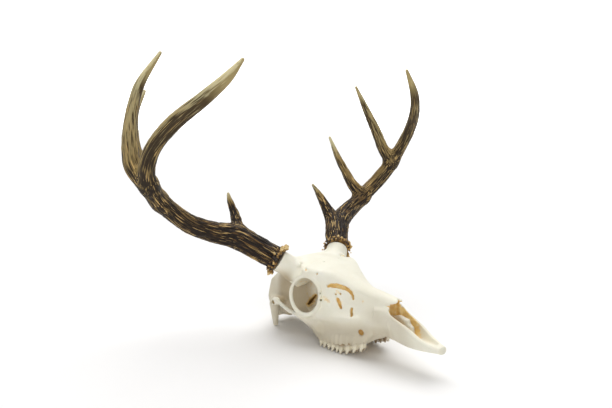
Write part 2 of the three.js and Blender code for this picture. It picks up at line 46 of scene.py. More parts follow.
# ---------------------------------------------------------------------------
# Camera: three quarters of a metre from the right cheek, ahead of it and a little
# lower than the antler tips, on a wide lens, almost level from side to side.
CAMERA_AT = Vector((-0.5497, -0.5606, 0.3038))
CAMERA_AHEAD = Vector((0.6613, 0.7353, -0.1489)).normalized()
CAMERA_RIGHT = Vector((0.7446, -0.6674, 0.0111)).normalized()
LENS_MM = 35.0
SENSOR_MM = 36.0

lens = bpy.data.cameras.new("camera")
lens.lens = LENS_MM
lens.sensor_fit = "HORIZONTAL"
lens.sensor_width = SENSOR_MM
lens.clip_start = 0.01
camera = bpy.data.objects.new("camera", lens)
upward = CAMERA_RIGHT.cross(CAMERA_AHEAD)
camera.matrix_world = Matrix.Translation(CAMERA_AT) @ Matrix(
    (CAMERA_RIGHT, upward, -CAMERA_AHEAD)
).transposed().to_4x4()
scene.collection.objects.link(camera)
scene.camera = camera


# ---------------------------------------------------------------------------
# Cranium: braincase, frontal bones, pedicles and eye sockets in one bleached bone,
# sutured to the face. The whole skull is one field of distances in millimetres,
# fore of the occiput, to the animal's left and up from the chewing plane.
PITCH = math.radians(8.5)
REST_UP = 23.05
CENTRE_LEFT = -3.5
CENTRE_BACK = -100.8
SKULL_LOW, SKULL_HIGH = (-9, -66, -2), (298, 66, 140)
BONE_CELL = 0.94
SUTURE = 0.03
FAR_AWAY = 60

ORBIT = {"at": (113.8, 49, 76.8), "radius": 19.2, "squash": 0.83, "rim": 2.5, "brow_rim": 1.8,
         "depth": 34, "narrowing": 0.3}
ORBIT_AXIS = np.array((0.33, 0.92, 0.12))
ORBIT_AXIS /= np.linalg.norm(ORBIT_AXIS)
PEDICLE_ROOT = (86, 33, 101)
PEDICLE_TOP = (73, 55.5, 121.5)
PEDICLE_RADII = (17, 15)
NASAL_END = 238
MUZZLE_ENDS = (205, 290)
NOSE_ENDS = (217, 281)
NOSE_OPENING = 224
ARCHED_FRONTAL = 0.0072
ARCHED_NASAL = 0.045

TOP_LINE = [(0, 88), (20, 100), (45, 112), (70, 121.5), (90, 123), (112, 118), (132, 110.5),
            (147, 103.5), (160, 96), (174, 89), (188, 83.2), (201, 80), (216, 75.8), (236, 70.5)]
ROOF_BREADTH = [(40, 22), (62, 36), (78, 46), (94, 51), (110, 50), (125, 42), (139, 31),
                (152, 24), (168, 18.5), (186, 15), (210, 12.5), (236, 10)]
MIDDLE_LINE = [(112, 54), (140, 50), (165, 44), (190, 42), (215, 44), (236, 42)]
CHEEK_BREADTH = [(100, 41), (118, 43), (135, 41.5), (150, 37.5), (166, 32), (182, 27), (197, 22.5),
                 (215, 18), (236, 16.5), (256, 15), (275, 12), (292, 6)]
GUM_BREADTH = [(100, 31), (120, 35.5), (145, 35.5), (165, 31), (190, 25), (205, 18.5), (222, 15),
               (256, 14.5), (275, 12), (292, 5)]
LOWER_EDGE = [(100, 20), (118, 14.5), (135, 13), (150, 12), (173, 12), (184, 13), (190, 17.5),
              (194, 23.5), (200, 27.5), (209, 28.5), (219, 27), (232, 22.5), (250, 18), (270, 16), (292, 14)]
NOSE_EDGE = [(205, 62), (223, 59.5), (228, 55.5), (235, 51), (244, 45.6), (254, 39.7),
             (267, 30), (280, 24), (292, 19)]


def along(line, at):
    """A smooth value between named stations, level beyond the first and last."""
    x, y = np.array(line, float).T
    slope = np.gradient(y, x)
    slope[1:-1] = (y[2:] - y[:-2]) / (x[2:] - x[:-2])
    at = np.clip(at, x[0], x[-1])
    i = np.clip(np.searchsorted(x, at, side="right") - 1, 0, len(x) - 2)
    width = x[i + 1] - x[i]
    t = (at - x[i]) / width
    bend = t * (1 - t) * width * ((1 - t) * slope[i] - t * slope[i + 1])
    return (y[i] + t * t * (3 - 2 * t) * (y[i + 1] - y[i]) + bend).astype(np.float32)


def ease(at, low, high):
    """0 below low, 1 above high, smooth between."""
    t = np.clip((at - low) / (high - low), 0, 1)
    return t * t * (3 - 2 * t)


def most(*terms):
    """The largest of several grids or numbers, point by point."""
    return reduce(np.maximum, terms)


def join(a, b, k):
    """Both shapes, with a fillet about k wide where they meet."""
    h = np.maximum(k - np.abs(a - b), 0) / k
    return np.minimum(a, b) - h * h * k / 4


def carve(a, b, k):
    """The first shape without the second, its new edge rounded by k."""
    return -join(-a, b, k)


def egg(centre, radii):
    """An ellipsoid."""
    def distance(p):
        x, y, z = ((p[i] - centre[i]) / radii[i] for i in range(3))
        near = np.sqrt(x * x + y * y + z * z)
        steep = np.sqrt((x / radii[0]) ** 2 + (y / radii[1]) ** 2 + (z / radii[2]) ** 2)
        return near * (near - 1) / np.maximum(steep, 1e-6)
    return distance


def chain(points, radii, inward=(0, 0, 0), depth=0):
    """Round bars from point to point, with one radius for all or one for each point.
    Given a depth, each is drawn out that far along one direction into the bone."""
    radii = [radii] * len(points) if np.isscalar(radii) else radii
    inward = np.array(inward, float)
    if depth:
        inward /= np.linalg.norm(inward)

    def bar(a, b, ra, rb):
        a, ab = np.array(a, float), np.array(b, float) - np.array(a, float)
        flat = ab - inward * (ab @ inward)

        def distance(p):
            ap = [p[i] - a[i] for i in range(3)]
            t = np.clip(sum(ap[i] * flat[i] for i in range(3)) / (flat @ flat), 0, 1)
            off = [ap[i] - t * ab[i] for i in range(3)]
            if depth:
                sunk = np.clip(sum(off[i] * inward[i] for i in range(3)), 0, depth)
                off = [off[i] - sunk * inward[i] for i in range(3)]
            return np.sqrt(sum(o ** 2 for o in off)) - (ra + t * (rb - ra))
        return distance

    bars = [bar(*points[i:i + 2], *radii[i:i + 2]) for i in range(len(points) - 1)]
    return lambda p: reduce(np.minimum, [distance(p) for distance in bars])


def rod(a, b, ra, rb=None):
    """One round bar from a to b, its radius running from ra to rb."""
    return chain((a, b), (ra, ra if rb is None else rb))


def trapezoid(p, low, high, low_breadth, high_breadth, rounding):
    """Cross-section with straight flanks and round corners, about the midplane."""
    half = np.maximum((high - low) / 2 - rounding, 0.5)
    b0 = np.maximum(low_breadth - rounding, 0.5)
    b1 = np.maximum(high_breadth - rounding, 0.5)
    y = p[2] - (low + high) / 2
    x = p[1]
    cap_x = x - np.minimum(x, np.where(y < 0, b0, b1))
    cap_y = np.abs(y) - half
    kx, ky = b1 - b0, 2 * half
    t = np.clip(((b1 - x) * kx + (half - y) * ky) / (kx * kx + ky * ky), 0, 1)
    side_x, side_y = x - b1 + kx * t, y - half + ky * t
    inside = np.where((side_x < 0) & (cap_y < 0), -1, 1)
    return inside * np.sqrt(np.minimum(cap_x ** 2 + cap_y ** 2, side_x ** 2 + side_y ** 2)) - rounding


def wave(u, v, size, height):
    """The small in and out of a suture, the same on every run."""
    u, v = u / size, v / size
    return height * (np.sin(u) * np.cos(v * 0.83 + 1.3) + 0.5 * np.sin(u * 2.3 + v))


class Solid:
    """Distances on an even grid; each change touches only a block round its own shape."""

    def __init__(self, low, high, cell):
        self.low, self.cell = np.array(low, float), cell
        self.count = np.ceil((np.array(high) - self.low) / cell).astype(int) + 1
        self.distance = np.full(self.count, FAR_AWAY, np.float32)

    def block(self, low, high):
        """The part of the grid between two corners, as slices and as places."""
        first = np.clip(np.floor((np.array(low) - self.low) / self.cell), 0, self.count - 1)
        last = np.clip(np.ceil((np.array(high) - self.low) / self.cell) + 1, 1, self.count)
        spans = [slice(int(a), int(b)) for a, b in zip(first, last)]
        axes = [
            (self.low[i] + self.cell * np.arange(s.start, s.stop)).astype(np.float32)
            for i, s in enumerate(spans)
        ]
        return tuple(spans), (axes[0][:, None, None], axes[1][None, :, None], axes[2][None, None, :])

    def change(self, how, shape, k, low, high, mirrored=True):
        """Joins or carves a shape, on both sides of the midplane unless told otherwise."""
        blocks = [(low, high)]
        if mirrored and low[1] > 0:
            blocks.append(((low[0], -high[1], low[2]), (high[0], -low[1], high[2])))
        elif mirrored:
            blocks = [((low[0], -high[1], low[2]), high)]
        for block in blocks:
            where, (f, s, z) = self.block(*block)
            value = shape((f, np.abs(s) if mirrored else s, z))
            self.distance[where] = how(self.distance[where], value, k)

    def add(self, shape, k, low, high, mirrored=True):
        self.change(join, shape, k, low, high, mirrored)

    def cut(self, shape, k, low, high, mirrored=True):
        self.change(carve, shape, k, low, high, mirrored)

    def steepest(self, points):
        """The direction straight out of the shape at any points."""
        step = np.eye(3) * self.cell
        slope = np.stack([self.at(points + s) - self.at(points - s) for s in step], axis=1)
        return slope / np.maximum(np.linalg.norm(slope, axis=1), 1e-6)[:, None]

    def at(self, points):
        """The distance at any points, by straight blending inside each cell."""
        g = np.clip((points - self.low) / self.cell, 0, self.count - 1.001)
        i = g.astype(int)
        t = (g - i).astype(np.float32)
        value = 0
        for corner in range(8):
            step = np.array([corner & 1, corner >> 1 & 1, corner >> 2 & 1])
            weight = np.prod(np.where(step, t, 1 - t), axis=1)
            value = value + weight * self.distance[tuple((i + step).T)]
        return value


def span(points, margin):
    """Lowest and highest corners round some points, with a margin."""
    points = np.array(points, float)[:, :3]
    return tuple(points.min(0) - margin), tuple(points.max(0) + margin)


def fused(first, *others):
    """One shape out of several, each let into those before it with its own fillet."""
    return lambda p: reduce(lambda d, other: join(d, other[0](p), other[1]), others, first(p))


vault = egg((50, 0, 75), (46, 33, 37))
occiput = egg((19, 0, 62), (14, 31, 31))
nape_crest = chain([(12, 0, 90), (14, 20, 84), (18, 31, 64), (20, 30, 50)], 4.5)
condyle = rod((7, 12, 38), (18, 15, 42), 8, 7)
skull_base = rod((12, 0, 42), (88, 0, 46), 10, 8)
ear_capsule = egg((42, 20, 45), (12, 8, 9))
ear_hole = rod((30, 34, 58), (44, 37, 60), 8, 6)
braincase = fused(vault, (occiput, 8), (nape_crest, 6), (condyle, 4), (skull_base, 8),
                  (ear_capsule, 4), (ear_hole, 6))

between_eyes = egg((100, 0, 80), (42, 15, 30))
wing = rod((84, 13, 46), (112, 17, 36), 5, 8)
wing_hook = rod((90, 14, 31), (100, 16, 46), 3.5, 5)
jaw_root = egg((114, 27, 34), (14, 12, 18))
core = fused(between_eyes, (wing, 8), (wing_hook, 5), (jaw_root, 8))


def fall(f, a):
    """How far the arched roof drops at a distance aside of the midline."""
    return (ARCHED_FRONTAL * ease(f, 66, 104) + ARCHED_NASAL * ease(f, 140, 190)) * np.minimum(a, 60) ** 2


def roof(p):
    f, a, z = p
    top, breadth = along(TOP_LINE, f), along(ROOF_BREADTH, f)
    shape = trapezoid((f, a, z + fall(f, a)), top - 26, top, breadth * 0.94, breadth, 7)
    return most(shape, 40 - f, f - NASAL_END)


def pedicle(p):
    root, top = np.array(PEDICLE_ROOT), np.array(PEDICLE_TOP)
    ahead = (top - root) / np.linalg.norm(top - root)
    beyond = sum((p[i] - top[i]) * ahead[i] for i in range(3))
    return np.maximum(rod(root, top, *PEDICLE_RADII)(p), beyond)


def face(p):
    f = p[0]
    low, middle = along(LOWER_EDGE, f), along(MIDDLE_LINE, f)
    high = along(TOP_LINE, f) - 5 - 3 * ease(f, 150, 190)
    cheek = along(CHEEK_BREADTH, f)
    under = trapezoid(p, low, middle + 7, along(GUM_BREADTH, f), cheek, 6)
    over = trapezoid(p, middle - 7, high, cheek, along(ROOF_BREADTH, f), 6)
    back = 111 + 0.3 * np.clip(36 - p[2], 0, 30) - f
    return most(join(under, over, 6), back, f - NOSE_OPENING)


def muzzle(p):
    f = p[0]
    shape = trapezoid(p, along(LOWER_EDGE, f), along(NOSE_EDGE, f), along(GUM_BREADTH, f),
                      along(CHEEK_BREADTH, f), 3.5)
    return most(shape, MUZZLE_ENDS[0] - f, f - MUZZLE_ENDS[1])


def from_orbit(p):
    """How far p lies from the socket's axis, and how far out along it."""
    d = [p[i] - ORBIT["at"][i] for i in range(3)]
    out = sum(d[i] * ORBIT_AXIS[i] for i in range(3))
    x, y, z = (d[i] - out * ORBIT_AXIS[i] for i in range(3))
    return np.sqrt(x * x + y * y + (z * ORBIT["squash"]) ** 2), out


def orbit_hollow(p):
    away, out = from_orbit(p)
    narrowing = np.maximum(0, -out) * ORBIT["narrowing"]
    return np.maximum(away - ORBIT["radius"] + narrowing, -out - ORBIT["depth"])


def orbit_rim(p):
    away, out = from_orbit(p)
    rim = ORBIT["rim"] + (ORBIT["brow_rim"] - ORBIT["rim"]) * ease(p[2] - ORBIT["at"][2], 5, 18)
    return np.hypot(away - ORBIT["radius"] - rim, out) - rim


def nose_hollow(p):
    f, a, z = p
    top = along(TOP_LINE, f) - 3.2 - 3.5 * ease(f, 222, 200)
    behind = f < NOSE_OPENING
    high = np.where(behind, top, along(NOSE_EDGE, f) + 20)
    breadth = along(CHEEK_BREADTH, f) - 3
    upper = np.where(behind, along(ROOF_BREADTH, f) - 2.5, breadth)
    bent = (f, a, z + fall(f, a) * (z > 45))
    low = np.maximum(along(LOWER_EDGE, f) + 5, along(NOSE_EDGE, f) - 17 + 11 * ease(f, 246, 276))
    shape = trapezoid(bent, low, np.minimum(high, top), breadth * 0.7, upper, 3)
    return most(shape, NOSE_ENDS[0] - f, f - NOSE_ENDS[1])


def level_at(fore):
    """Height of the floor under the skull, in its own layout."""
    return REST_UP - fore * math.tan(PITCH)


ARCH = [(38, 39, 63), (48, 45, 62), (66, 48.5, 56.5), (82, 52, 52.5), (97, 53.5, 51)]
ARCH_RADIUS = 2.5
JUGAL = ((102, 50, 48), (121, 37, 36))
PROCESS = [(26, 32.5, 52), (22, 31, 37), (17.5, 27.5, 17)]
PROCESS_RADII = [7.5, 5.2, 3.2]

skull = Solid(SKULL_LOW, SKULL_HIGH, BONE_CELL)
skull.add(braincase, 1, (-9, 0, 20), (112, 60, 130))
skull.add(roof, 10, (28, 0, 30), (246, 66, 135))
skull.add(pedicle, 8, (50, 8, 72), (116, 66, 140))
skull.add(core, 8, (48, 0, 14), (152, 52, 124))
skull.add(face, 8, (101, 0, 0), (234, 60, 130))
skull.add(muzzle, 5, (198, 0, 4), (296, 30, 74))
skull.cut(orbit_hollow, 4, (70, 12, 40), (152, 66, 116))
skull.add(orbit_rim, 4, (78, 30, 38), (156, 66, 118))
skull.add(chain(ARCH, ARCH_RADIUS), 5, (30, 30, 40), (110, 66, 76))
skull.add(rod(*JUGAL, 4.5, 10), 5, (90, 20, 18), (142, 66, 62))
skull.add(chain(PROCESS, PROCESS_RADII), 4, (4, 16, 8), (44, 46, 66))

# The hollow of the cheek under its crest, the low bumps of the brow, the tooth roots
# that show through the jaw, and the shallow hollows round the eye.
CHEEK_HOLLOW = [(136, 47, 31), (150, 44.5, 31), (165, 40.5, 31), (185, 34.5, 32), (202, 30.5, 35)]
skull.cut(chain(CHEEK_HOLLOW, 9.5), 6, (122, 24, 14), (214, 58, 46))
BROW = [((98, 41, 114.5), (6, 3.5, 2.5)), ((91, 39, 116), (5, 4, 2.5))]
for centre, radii in BROW:
    skull.add(egg(centre, radii), 4, *span([centre], 16))
CREST = [(123, 42.2, 48.5), (142, 39.4, 47.5), (156, 35.4, 46.5), (170, 30.6, 46.5), (180, 26, 47)]
skull.add(chain(CREST, [3, 3, 2.8, 2.4, 1.8]), 5, (114, 16, 38), (190, 52, 58))
TOOTH_ROOTS = [(119.5, 36.8), (127.5, 37.3), (134.6, 37.4), (141.6, 37.2), (148.4, 36.4),
               (155, 35.2), (163.6, 32.8), (174.2, 29.4), (184.4, 26.2)]
for fore, side in TOOTH_ROOTS:
    ends = ((fore, side - 2.9, float(along(LOWER_EDGE, fore)) + 2.2), (fore + 1, side - 2.9, 24))
    skull.add(rod(*ends, 2.5, 1.4), 2.5, *span(ends, 8))
skull.cut(chain([(96, 44, 53), (110, 42, 51), (124, 36, 54)], 4.5), 3, (84, 30, 42), (136, 54, 64))
skull.cut(chain([(140, 40, 73), (147, 37.5, 65)], [3.6, 3]), 3, (130, 26, 56), (158, 50, 82))
skull.cut(chain([(70, 50, 108), (62, 44, 96), (58, 40, 84)], 7), 8, (44, 26, 68), (84, 62, 118))

# The skull with its eye sockets but before any other opening, which tells later how
# deep a point lies under it.
skin = Solid(SKULL_LOW, SKULL_HIGH, BONE_CELL)
skin.distance = skull.distance.copy()


def nasal_seam(f):
    """Height of the seam between the nasal bones and the maxillae."""
    return 88 - (f - 152) * 0.353


def past_nasals(p):
    """The room ahead of the two notched tips of the nasal bones."""
    f, a, z = p
    notched = 231.5 - 0.25 * (a - 4) ** 2 + wave(a, z, 0.9, 0.3)
    return most(notched - f, nasal_seam(f) - z)


# Openings: the nose with its scroll of thin bone, the canals behind the palate and at
# the back of the skull, the gaps before the eye, and the holes for nerves and vessels.
skull.cut(nose_hollow, 2, (192, 0, 10), (290, 30, 84))
skull.cut(rod((-8, 0, 52), (30, 0, 54), 9.5, 8), 3, (-9, 0, 36), (44, 16, 70))
skull.cut(egg((150, 0, 8), (52, 19, 9)), 4, (92, 0, -2), (208, 24, 24))
skull.cut(rod((82, 0, 36), (126, 0, 35), 9, 6.5), 3, (70, 0, 22), (138, 14, 50))
INWARD = (-0.1, -0.85, -0.5)
GAP_DEPTH = 5
OPENINGS = [
    ([(141, 33, 88), (147, 30, 89), (153, 27, 88), (158, 24, 86), (164, 21, 83), (169, 20, 79),
      (172, 20, 74), (172, 21, 71)], [1.7, 2.7, 2.8, 2.6, 2.3, 2.0, 1.7, 1.3]),
    ([(150, 30, 78), (150.6, 30, 77.5)], 1.2),
    ([(156, 27, 78), (156.6, 27, 77.5)], 1.2),
    ([(153, 30, 71), (156, 30, 65), (158, 29, 60)], [2.6, 2.3, 1.7]),
    ([(172, 25, 60), (172, 25, 54), (174, 27, 50)], [1.8, 2.1, 1.7]),
]
for points, radii in OPENINGS:
    ragged = chain(points, radii, INWARD, GAP_DEPTH)
    skull.cut(lambda p: ragged(p) + wave(p[0], p[2], 1.1, 0.4), 1, *span(points, 14))
skull.cut(past_nasals, 1, (200, 0, 54), (246, 30, 90))
FORAMINA = [
    ((188.5, 28, 29), (183.5, 22, 30.5), 3.5), ((139, 46, 81), (131, 38, 77), 1.3),
    ((137, 44, 71), (128, 34, 68), 1.3), ((130, 39, 106), (127, 37, 101), 1.2),
    ((118, 14, 118), (116, 13, 110), 0.9), ((34, 46, 58), (32, 24, 58), 3.2),
    ((12, 18, 44), (22, 12, 50), 1.8),
]
for outer, inner, radius in FORAMINA:
    skull.cut(rod(outer, inner, radius), 1, *span((outer, inner), 5))
skull.cut(chain([(99, 38, 115.5), (106, 42, 113), (112, 45, 111), (117, 46, 109)], 1.5), 3,
          (90, 30, 100), (126, 54, 124))
FISSURE = chain([(95, 13.5, 67.5), (89, 14.2, 62.8), (85, 15, 58.5), (81, 16, 54.6)],
                [0.8, 1.5, 2.1, 1.4], (-0.6, -0.72, -0.3), 9)
skull.cut(lambda p: FISSURE(p) + wave(p[0], p[2], 0.9, 0.6), 1, (68, 4, 44), (100, 28, 78))
skull.cut(chain([(234, 4.5, 22), (262, 4.5, 17)], 2.2, (0, 0, -1), 9), 1, (226, 0, 4), (270, 12, 30))
skull.cut(chain([(158, 28, 69), (165, 25.5, 66), (172, 23.5, 64), (179, 20.5, 65), (187, 18, 68)], 0.8),
          1, (152, 10, 56), (194, 34, 76))
TURBINATE = chain([(206, 0, 46), (231, 0, 50), (240, 0, 45), (247, 0, 38)], [2, 2.6, 4.4, 3],
                  (0, 0, -1), 8)
skull.add(TURBINATE, 2, (198, 0, 12), (258, 12, 60))

# What would reach into the floor is cut level with it.
where, p = skull.block((-9, -66, -2), (60, 66, 30))
skull.distance[where] = np.maximum(skull.distance[where], level_at(p[0]) - p[2])


# What the mesher needs: closed faces from the grid, loose crumbs left out, and a
# piece in the frame's own metres.
def surface(distance, low, cell):
    """The zero surface of a block of distances, as points and four-sided faces."""
    reach = 3 * cell
    held = np.clip(np.pad(distance, 1, constant_values=reach), -reach, reach)
    grid = openvdb.FloatGrid(reach)
    grid.copyFromArray(held.astype(np.float32))
    points, faces = grid.convertToQuads(isovalue=0.0)
    points, faces = np.array(points, float), np.array(faces, int)

    # Each point takes the least number among its neighbours until nothing changes,
    # so that every loose body ends up with a number of its own.
    label = np.arange(len(points))
    a, b = faces.ravel(), np.roll(faces, -1, axis=1).ravel()
    while True:
        least = np.minimum(label[a], label[b])
        new = label.copy()
        np.minimum.at(new, a, least)
        np.minimum.at(new, b, least)
        new = new[new]
        if (new == label).all():
            break
        label = new
    main = np.bincount(label).argmax()
    faces = faces[label[faces[:, 0]] == main]
    used, faces = np.unique(faces, return_inverse=True)
    points, faces = points[used], faces.reshape(-1, 4)
    c = points[faces]
    volume = np.einsum("ij,ij->i", c[:, 0], np.cross(c[:, 1], c[:, 2]) + np.cross(c[:, 2], c[:, 3])).sum()
    if volume < 0:
        faces = faces[:, ::-1]
    return np.array(low) + (points - 1) * cell, faces


def seat(points):
    """From the skull's layout in millimetres to the frame in metres."""
    fore, side, up = points[:, 0], points[:, 1], points[:, 2]
    x = side - CENTRE_LEFT
    y = up * math.sin(PITCH) - fore * math.cos(PITCH) - CENTRE_BACK
    z = fore * math.sin(PITCH) + up * math.cos(PITCH) - REST_UP * math.cos(PITCH)
    return np.stack((x, y, z), axis=1) / 1000


def mark_points(mesh, mark, values, kind="FLOAT", field="value"):
    """Numbers for every point, which the mesh's finish reads by the mark's name."""
    layer = mesh.attributes.new(mark, kind, "POINT")
    layer.data.foreach_set(field, np.asarray(values, np.float32).ravel())


def build(name, points, faces, finish, marks, outward=None):
    """A smooth-shaded piece out of the skull's layout, of one finish, with its marks."""
    mesh = bpy.data.meshes.new(name)
    mesh.vertices.add(len(points))
    mesh.vertices.foreach_set("co", seat(points).astype(np.float32).ravel())
    mesh.loops.add(faces.size)
    mesh.loops.foreach_set("vertex_index", faces.astype(np.int32).ravel())
    mesh.polygons.add(len(faces))
    mesh.polygons.foreach_set("loop_start", np.arange(0, faces.size, 4, dtype=np.int32))
    mesh.update(calc_edges=True)
    mesh.validate()
    mesh.shade_smooth()
    if outward is None:
        mesh.set_sharp_from_angle(angle=math.radians(50))
    else:
        mesh.normals_split_custom_set_from_vertices(seat(outward) - seat(np.zeros((1, 3))))
    for mark, values in marks.items():
        mark_points(mesh, mark, values)
    mesh.materials.append(finish)
    made = bpy.data.objects.new(name, mesh)
    scene.collection.objects.link(made)
    return made


class Value:
    """What a node gives out, so that maths on it reads as plain sums."""

    def __init__(self, tree, socket):
        self.tree, self.socket = tree, socket

    def maths(self, operation, *terms):
        return add_node(self.tree, "ShaderNodeMath", {"operation": operation}, dict(enumerate(terms)))

    def __add__(self, other):
        return self.maths("ADD", self, other)

    def __sub__(self, other):
        return self.maths("SUBTRACT", self, other)

    def __rsub__(self, other):
        return self.maths("SUBTRACT", other, self)

    def __mul__(self, other):
        return self.maths("MULTIPLY", self, other)

    __radd__ = __add__
    __rmul__ = __mul__


def add_node(tree, kind, settings=None, values=None, output=None):
    """A node of a kind, its settings made first, then its sockets set or linked."""
    made = tree.nodes.new(kind)
    for setting, value in (settings or {}).items():
        if setting == "stops":
            ramp = made.color_ramp
            for _ in value[2:]:
                ramp.elements.new(0.5)
            for element, (position, shade) in zip(ramp.elements, value):
                element.position, element.color = position, shade
        else:
            setattr(made, setting, value)
    sockets = [s for s in made.inputs if s.enabled]
    for key, value in (values or {}).items():
        socket = sockets[key] if isinstance(key, int) else next(s for s in sockets if s.name == key)
        if isinstance(value, Value):
            tree.links.new(value.socket, socket)
        else:
            socket.default_value = value
    shown = [s for s in made.outputs if s.enabled]
    return Value(tree, next((s for s in shown if s.name == output), shown[0]))


class Finish:
    """A material: a Principled shader and the nodes that feed it."""

    def __init__(self, name, **fixed):
        self.material = bpy.data.materials.new(name)
        self.material.use_nodes = True
        self.tree = self.material.node_tree
        self.shader = self.tree.nodes["Principled BSDF"]
        for socket, value in fixed.items():
            self.shader.inputs[socket.replace("_", " ")].default_value = value
        self.place = self.node("TexCoord", output="Object")

    def node(self, kind, settings=None, values=None, output=None):
        return add_node(self.tree, "ShaderNode" + kind, settings, values, output)

    def mark(self, name):
        return self.node("Attribute", {"attribute_name": name}, output="Fac")

    def noise(self, scale, detail=3, place=None, stretch=(1, 1, 1)):
        at = self.node("Mapping", values={"Vector": place or self.place, "Scale": stretch})
        return self.node("TexNoise", values={"Vector": at, "Scale": scale, "Detail": detail})

    def ramp(self, value, stops):
        return self.node("ValToRGB", {"stops": stops}, {"Fac": value})

    def between(self, low, high, value):
        """0 to 1 as the value goes from low to high."""
        return self.node("MapRange", {"interpolation_type": "SMOOTHSTEP"},
                         {"Value": value, "From Min": low, "From Max": high})

    def mix(self, factor, a, b, how="MIX"):
        return self.node("Mix", {"data_type": "RGBA", "blend_type": how},
                         {"Factor": factor, "A": a, "B": b})

    def bump(self, height, distance, strength=1.0):
        return self.node("Bump", values={"Height": height, "Distance": distance,
                                         "Strength": strength})

    def wear(self, **links):
        """Feeds the shader's sockets, and gives back the material."""
        for socket, value in links.items():
            self.tree.links.new(value.socket, self.shader.inputs[socket.replace("_", " ")])
        return self.material


def colour(red, green, blue):
    """An opaque colour given as it looks on a screen, 0 to 255."""
    def linear(v):
        v /= 255
        return v / 12.92 if v <= 0.04045 else ((v + 0.055) / 1.055) ** 2.4
    return (*(linear(v) for v in (red, green, blue)), 1)


# The brown tint that painted shade multiplies into the bone.
PAINTED_SHADE_TINT = (0.44, 0.34, 0.21, 1)


def bone_finish():
    """Bleached bone: ivory, ochre where fat has stained thin walls, and darker and browner where painted
    shade is multiplied in.
    """
    made = Finish("bleached bone", Roughness=0.5, Subsurface_Weight=0.08)
    made.shader.inputs["Subsurface Radius"].default_value = (0.004, 0.003, 0.002)
    cloud = made.noise(28, 4)
    grit = made.noise(420, 3)
    ivory = made.ramp(cloud, [(0.25, colour(234, 230, 211)), (0.5, colour(241, 238, 221)),
                              (0.75, colour(246, 244, 231))])
    ivory = made.mix(grit * 0.1, ivory, colour(215, 200, 168))
    ochre = made.ramp(made.noise(150, 3), [(0.3, colour(234, 190, 108)), (0.55, colour(246, 216, 140)),
                                           (0.8, colour(250, 234, 184))])
    patchy = made.between(0.3, 0.75, made.mark("stain") + (made.noise(330, 4) - 0.5) * 0.9)
    stained = made.mix(patchy * 0.95, ivory, ochre)
    stained = made.mix(made.mark("deep") * 0.5, stained, colour(226, 172, 92))
    # Painted shade: the bone colour is multiplied towards a brown tint as far as the shade mark says.
    shaded = made.mix(made.mark("shade"), stained, PAINTED_SHADE_TINT, "MULTIPLY")
    pores = made.node("TexVoronoi", values={"Vector": made.place, "Scale": 520.0}, output="Distance")
    height = made.noise(900, 4) * 0.5 + cloud * 0.8 + made.between(0.0, 0.25, pores) * 0.25
    return made.wear(Base_Color=shaded, Roughness=0.42 + grit * 0.25,
                     Normal=made.bump(height, 0.0006, 0.5))


BONE = bone_finish()
GREASE = [(143, 68, 4), (137, 72, 4.5), (152, 79, 5), (157, 66, 5), (186, 68, 3)]


def bone_marks(p, sunk, in_socket, in_temple):
    """What the bone's finish reads, 0 to 1: fat stain, depth under the skin, and painted shade in the eye
    sockets, behind the eyes, on the lower face and snout and inside the slot before the eye.
    """
    f, a, z = p
    away, out = from_orbit(p)
    # Painted shade inside the eye socket, heavier under its roof and towards its lower front; the socket also
    # takes a little ochre stain.
    socket = in_socket * ease(-out, -3, 6) * ease(away, ORBIT["radius"] + 3, ORBIT["radius"] - 1)
    darker = 0.26 + 0.2 * ease(z, 84, 96) + 0.2 * ease(f, 78, 100) * ease(z, 80, 60)
    scroll = ease(TURBINATE(p), 2, 0.2)
    clean = (1 - 0.9 * ease(f, 238, 262)) * (1 - 0.8 * scroll)
    lining = ease(nose_hollow(p), 1.2, 0.2) * ease(f, 264, 242) * (1 - scroll)
    # Painted shade on the lower face and on the side of the snout, darker towards the bottom.
    jaw = ease(z, 54, 30) * ease(f, 246, 222) * ease(f, 60, 100)
    snout = ease(f, 176, 212) * ease(f, 264, 240) * ease(z, 68, 50)
    # Painted shade behind the eye, under the pedicle and the antler.
    temple = in_temple * (0.5 + 0.5 * ease(f, 28, 46)) * ease(f, 100, 84) * ease(z, 118, 98)
    spots = [np.exp(-((f - fore) ** 2 + (z - up) ** 2) / size ** 2) for fore, up, size in GREASE]
    grease = np.minimum(sum(spots) * (a > 12), 1)
    # The slot before the eye: an ochre stain round it and painted shade inside.
    torn = FISSURE(p)
    return {
        "stain": most(ease(sunk, 1.0, 3.0) * clean, 0.9 * lining, 0.36 * socket,
                      0.7 * ease(torn, 5, 1.5), 0.5 * grease),
        "deep": ease(sunk, 4, 16),
        "shade": most(darker * socket, 0.5 * jaw, 0.3 * snout, 0.8 * temple, ease(torn, 2, 0)),
    }


def bone_piece(name, shape, block, *nodes, in_socket=1, in_temple=0):
    """A bone out of the skull: what its region holds, up to half a suture from the next."""
    where, p = skull.block(*block)
    distance = np.maximum(skull.distance[where], shape(p) + SUTURE)
    low = [skull.low[i] + where[i].start * BONE_CELL for i in range(3)]
    points, faces = surface(distance, low, BONE_CELL)
    p = points[:, 0], np.abs(points[:, 1]), points[:, 2]
    # The marks carry fat stain and painted shade; in_socket and in_temple scale the painted shade in the eye
    # socket and behind the eye.
    marks = bone_marks(p, -skin.at(points), in_socket, in_temple)
    made = build(name, points, faces, BONE, marks, skull.steepest(points))
    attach(made, "root")
    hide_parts(*nodes)


# The bones' regions, parted at wavy sutures. Each is given for one side.
def nasal_region(p):
    f, a, z = p
    half = 11 + 2.5 * ease(f, 205, 176) - 5 * ease(f, 176, 156)
    return most(a - half - wave(f, z, 3.1, 0.35), nasal_seam(f) - z, 150 + a * 0.6 - f, f - 236)


def past_maxilla(p):
    """Above zero ahead of the suture between maxilla and premaxilla."""
    f, a, z = p
    return f - 214 - 0.45 * (46 - z) + wave(z, a, 2.9, 0.4)


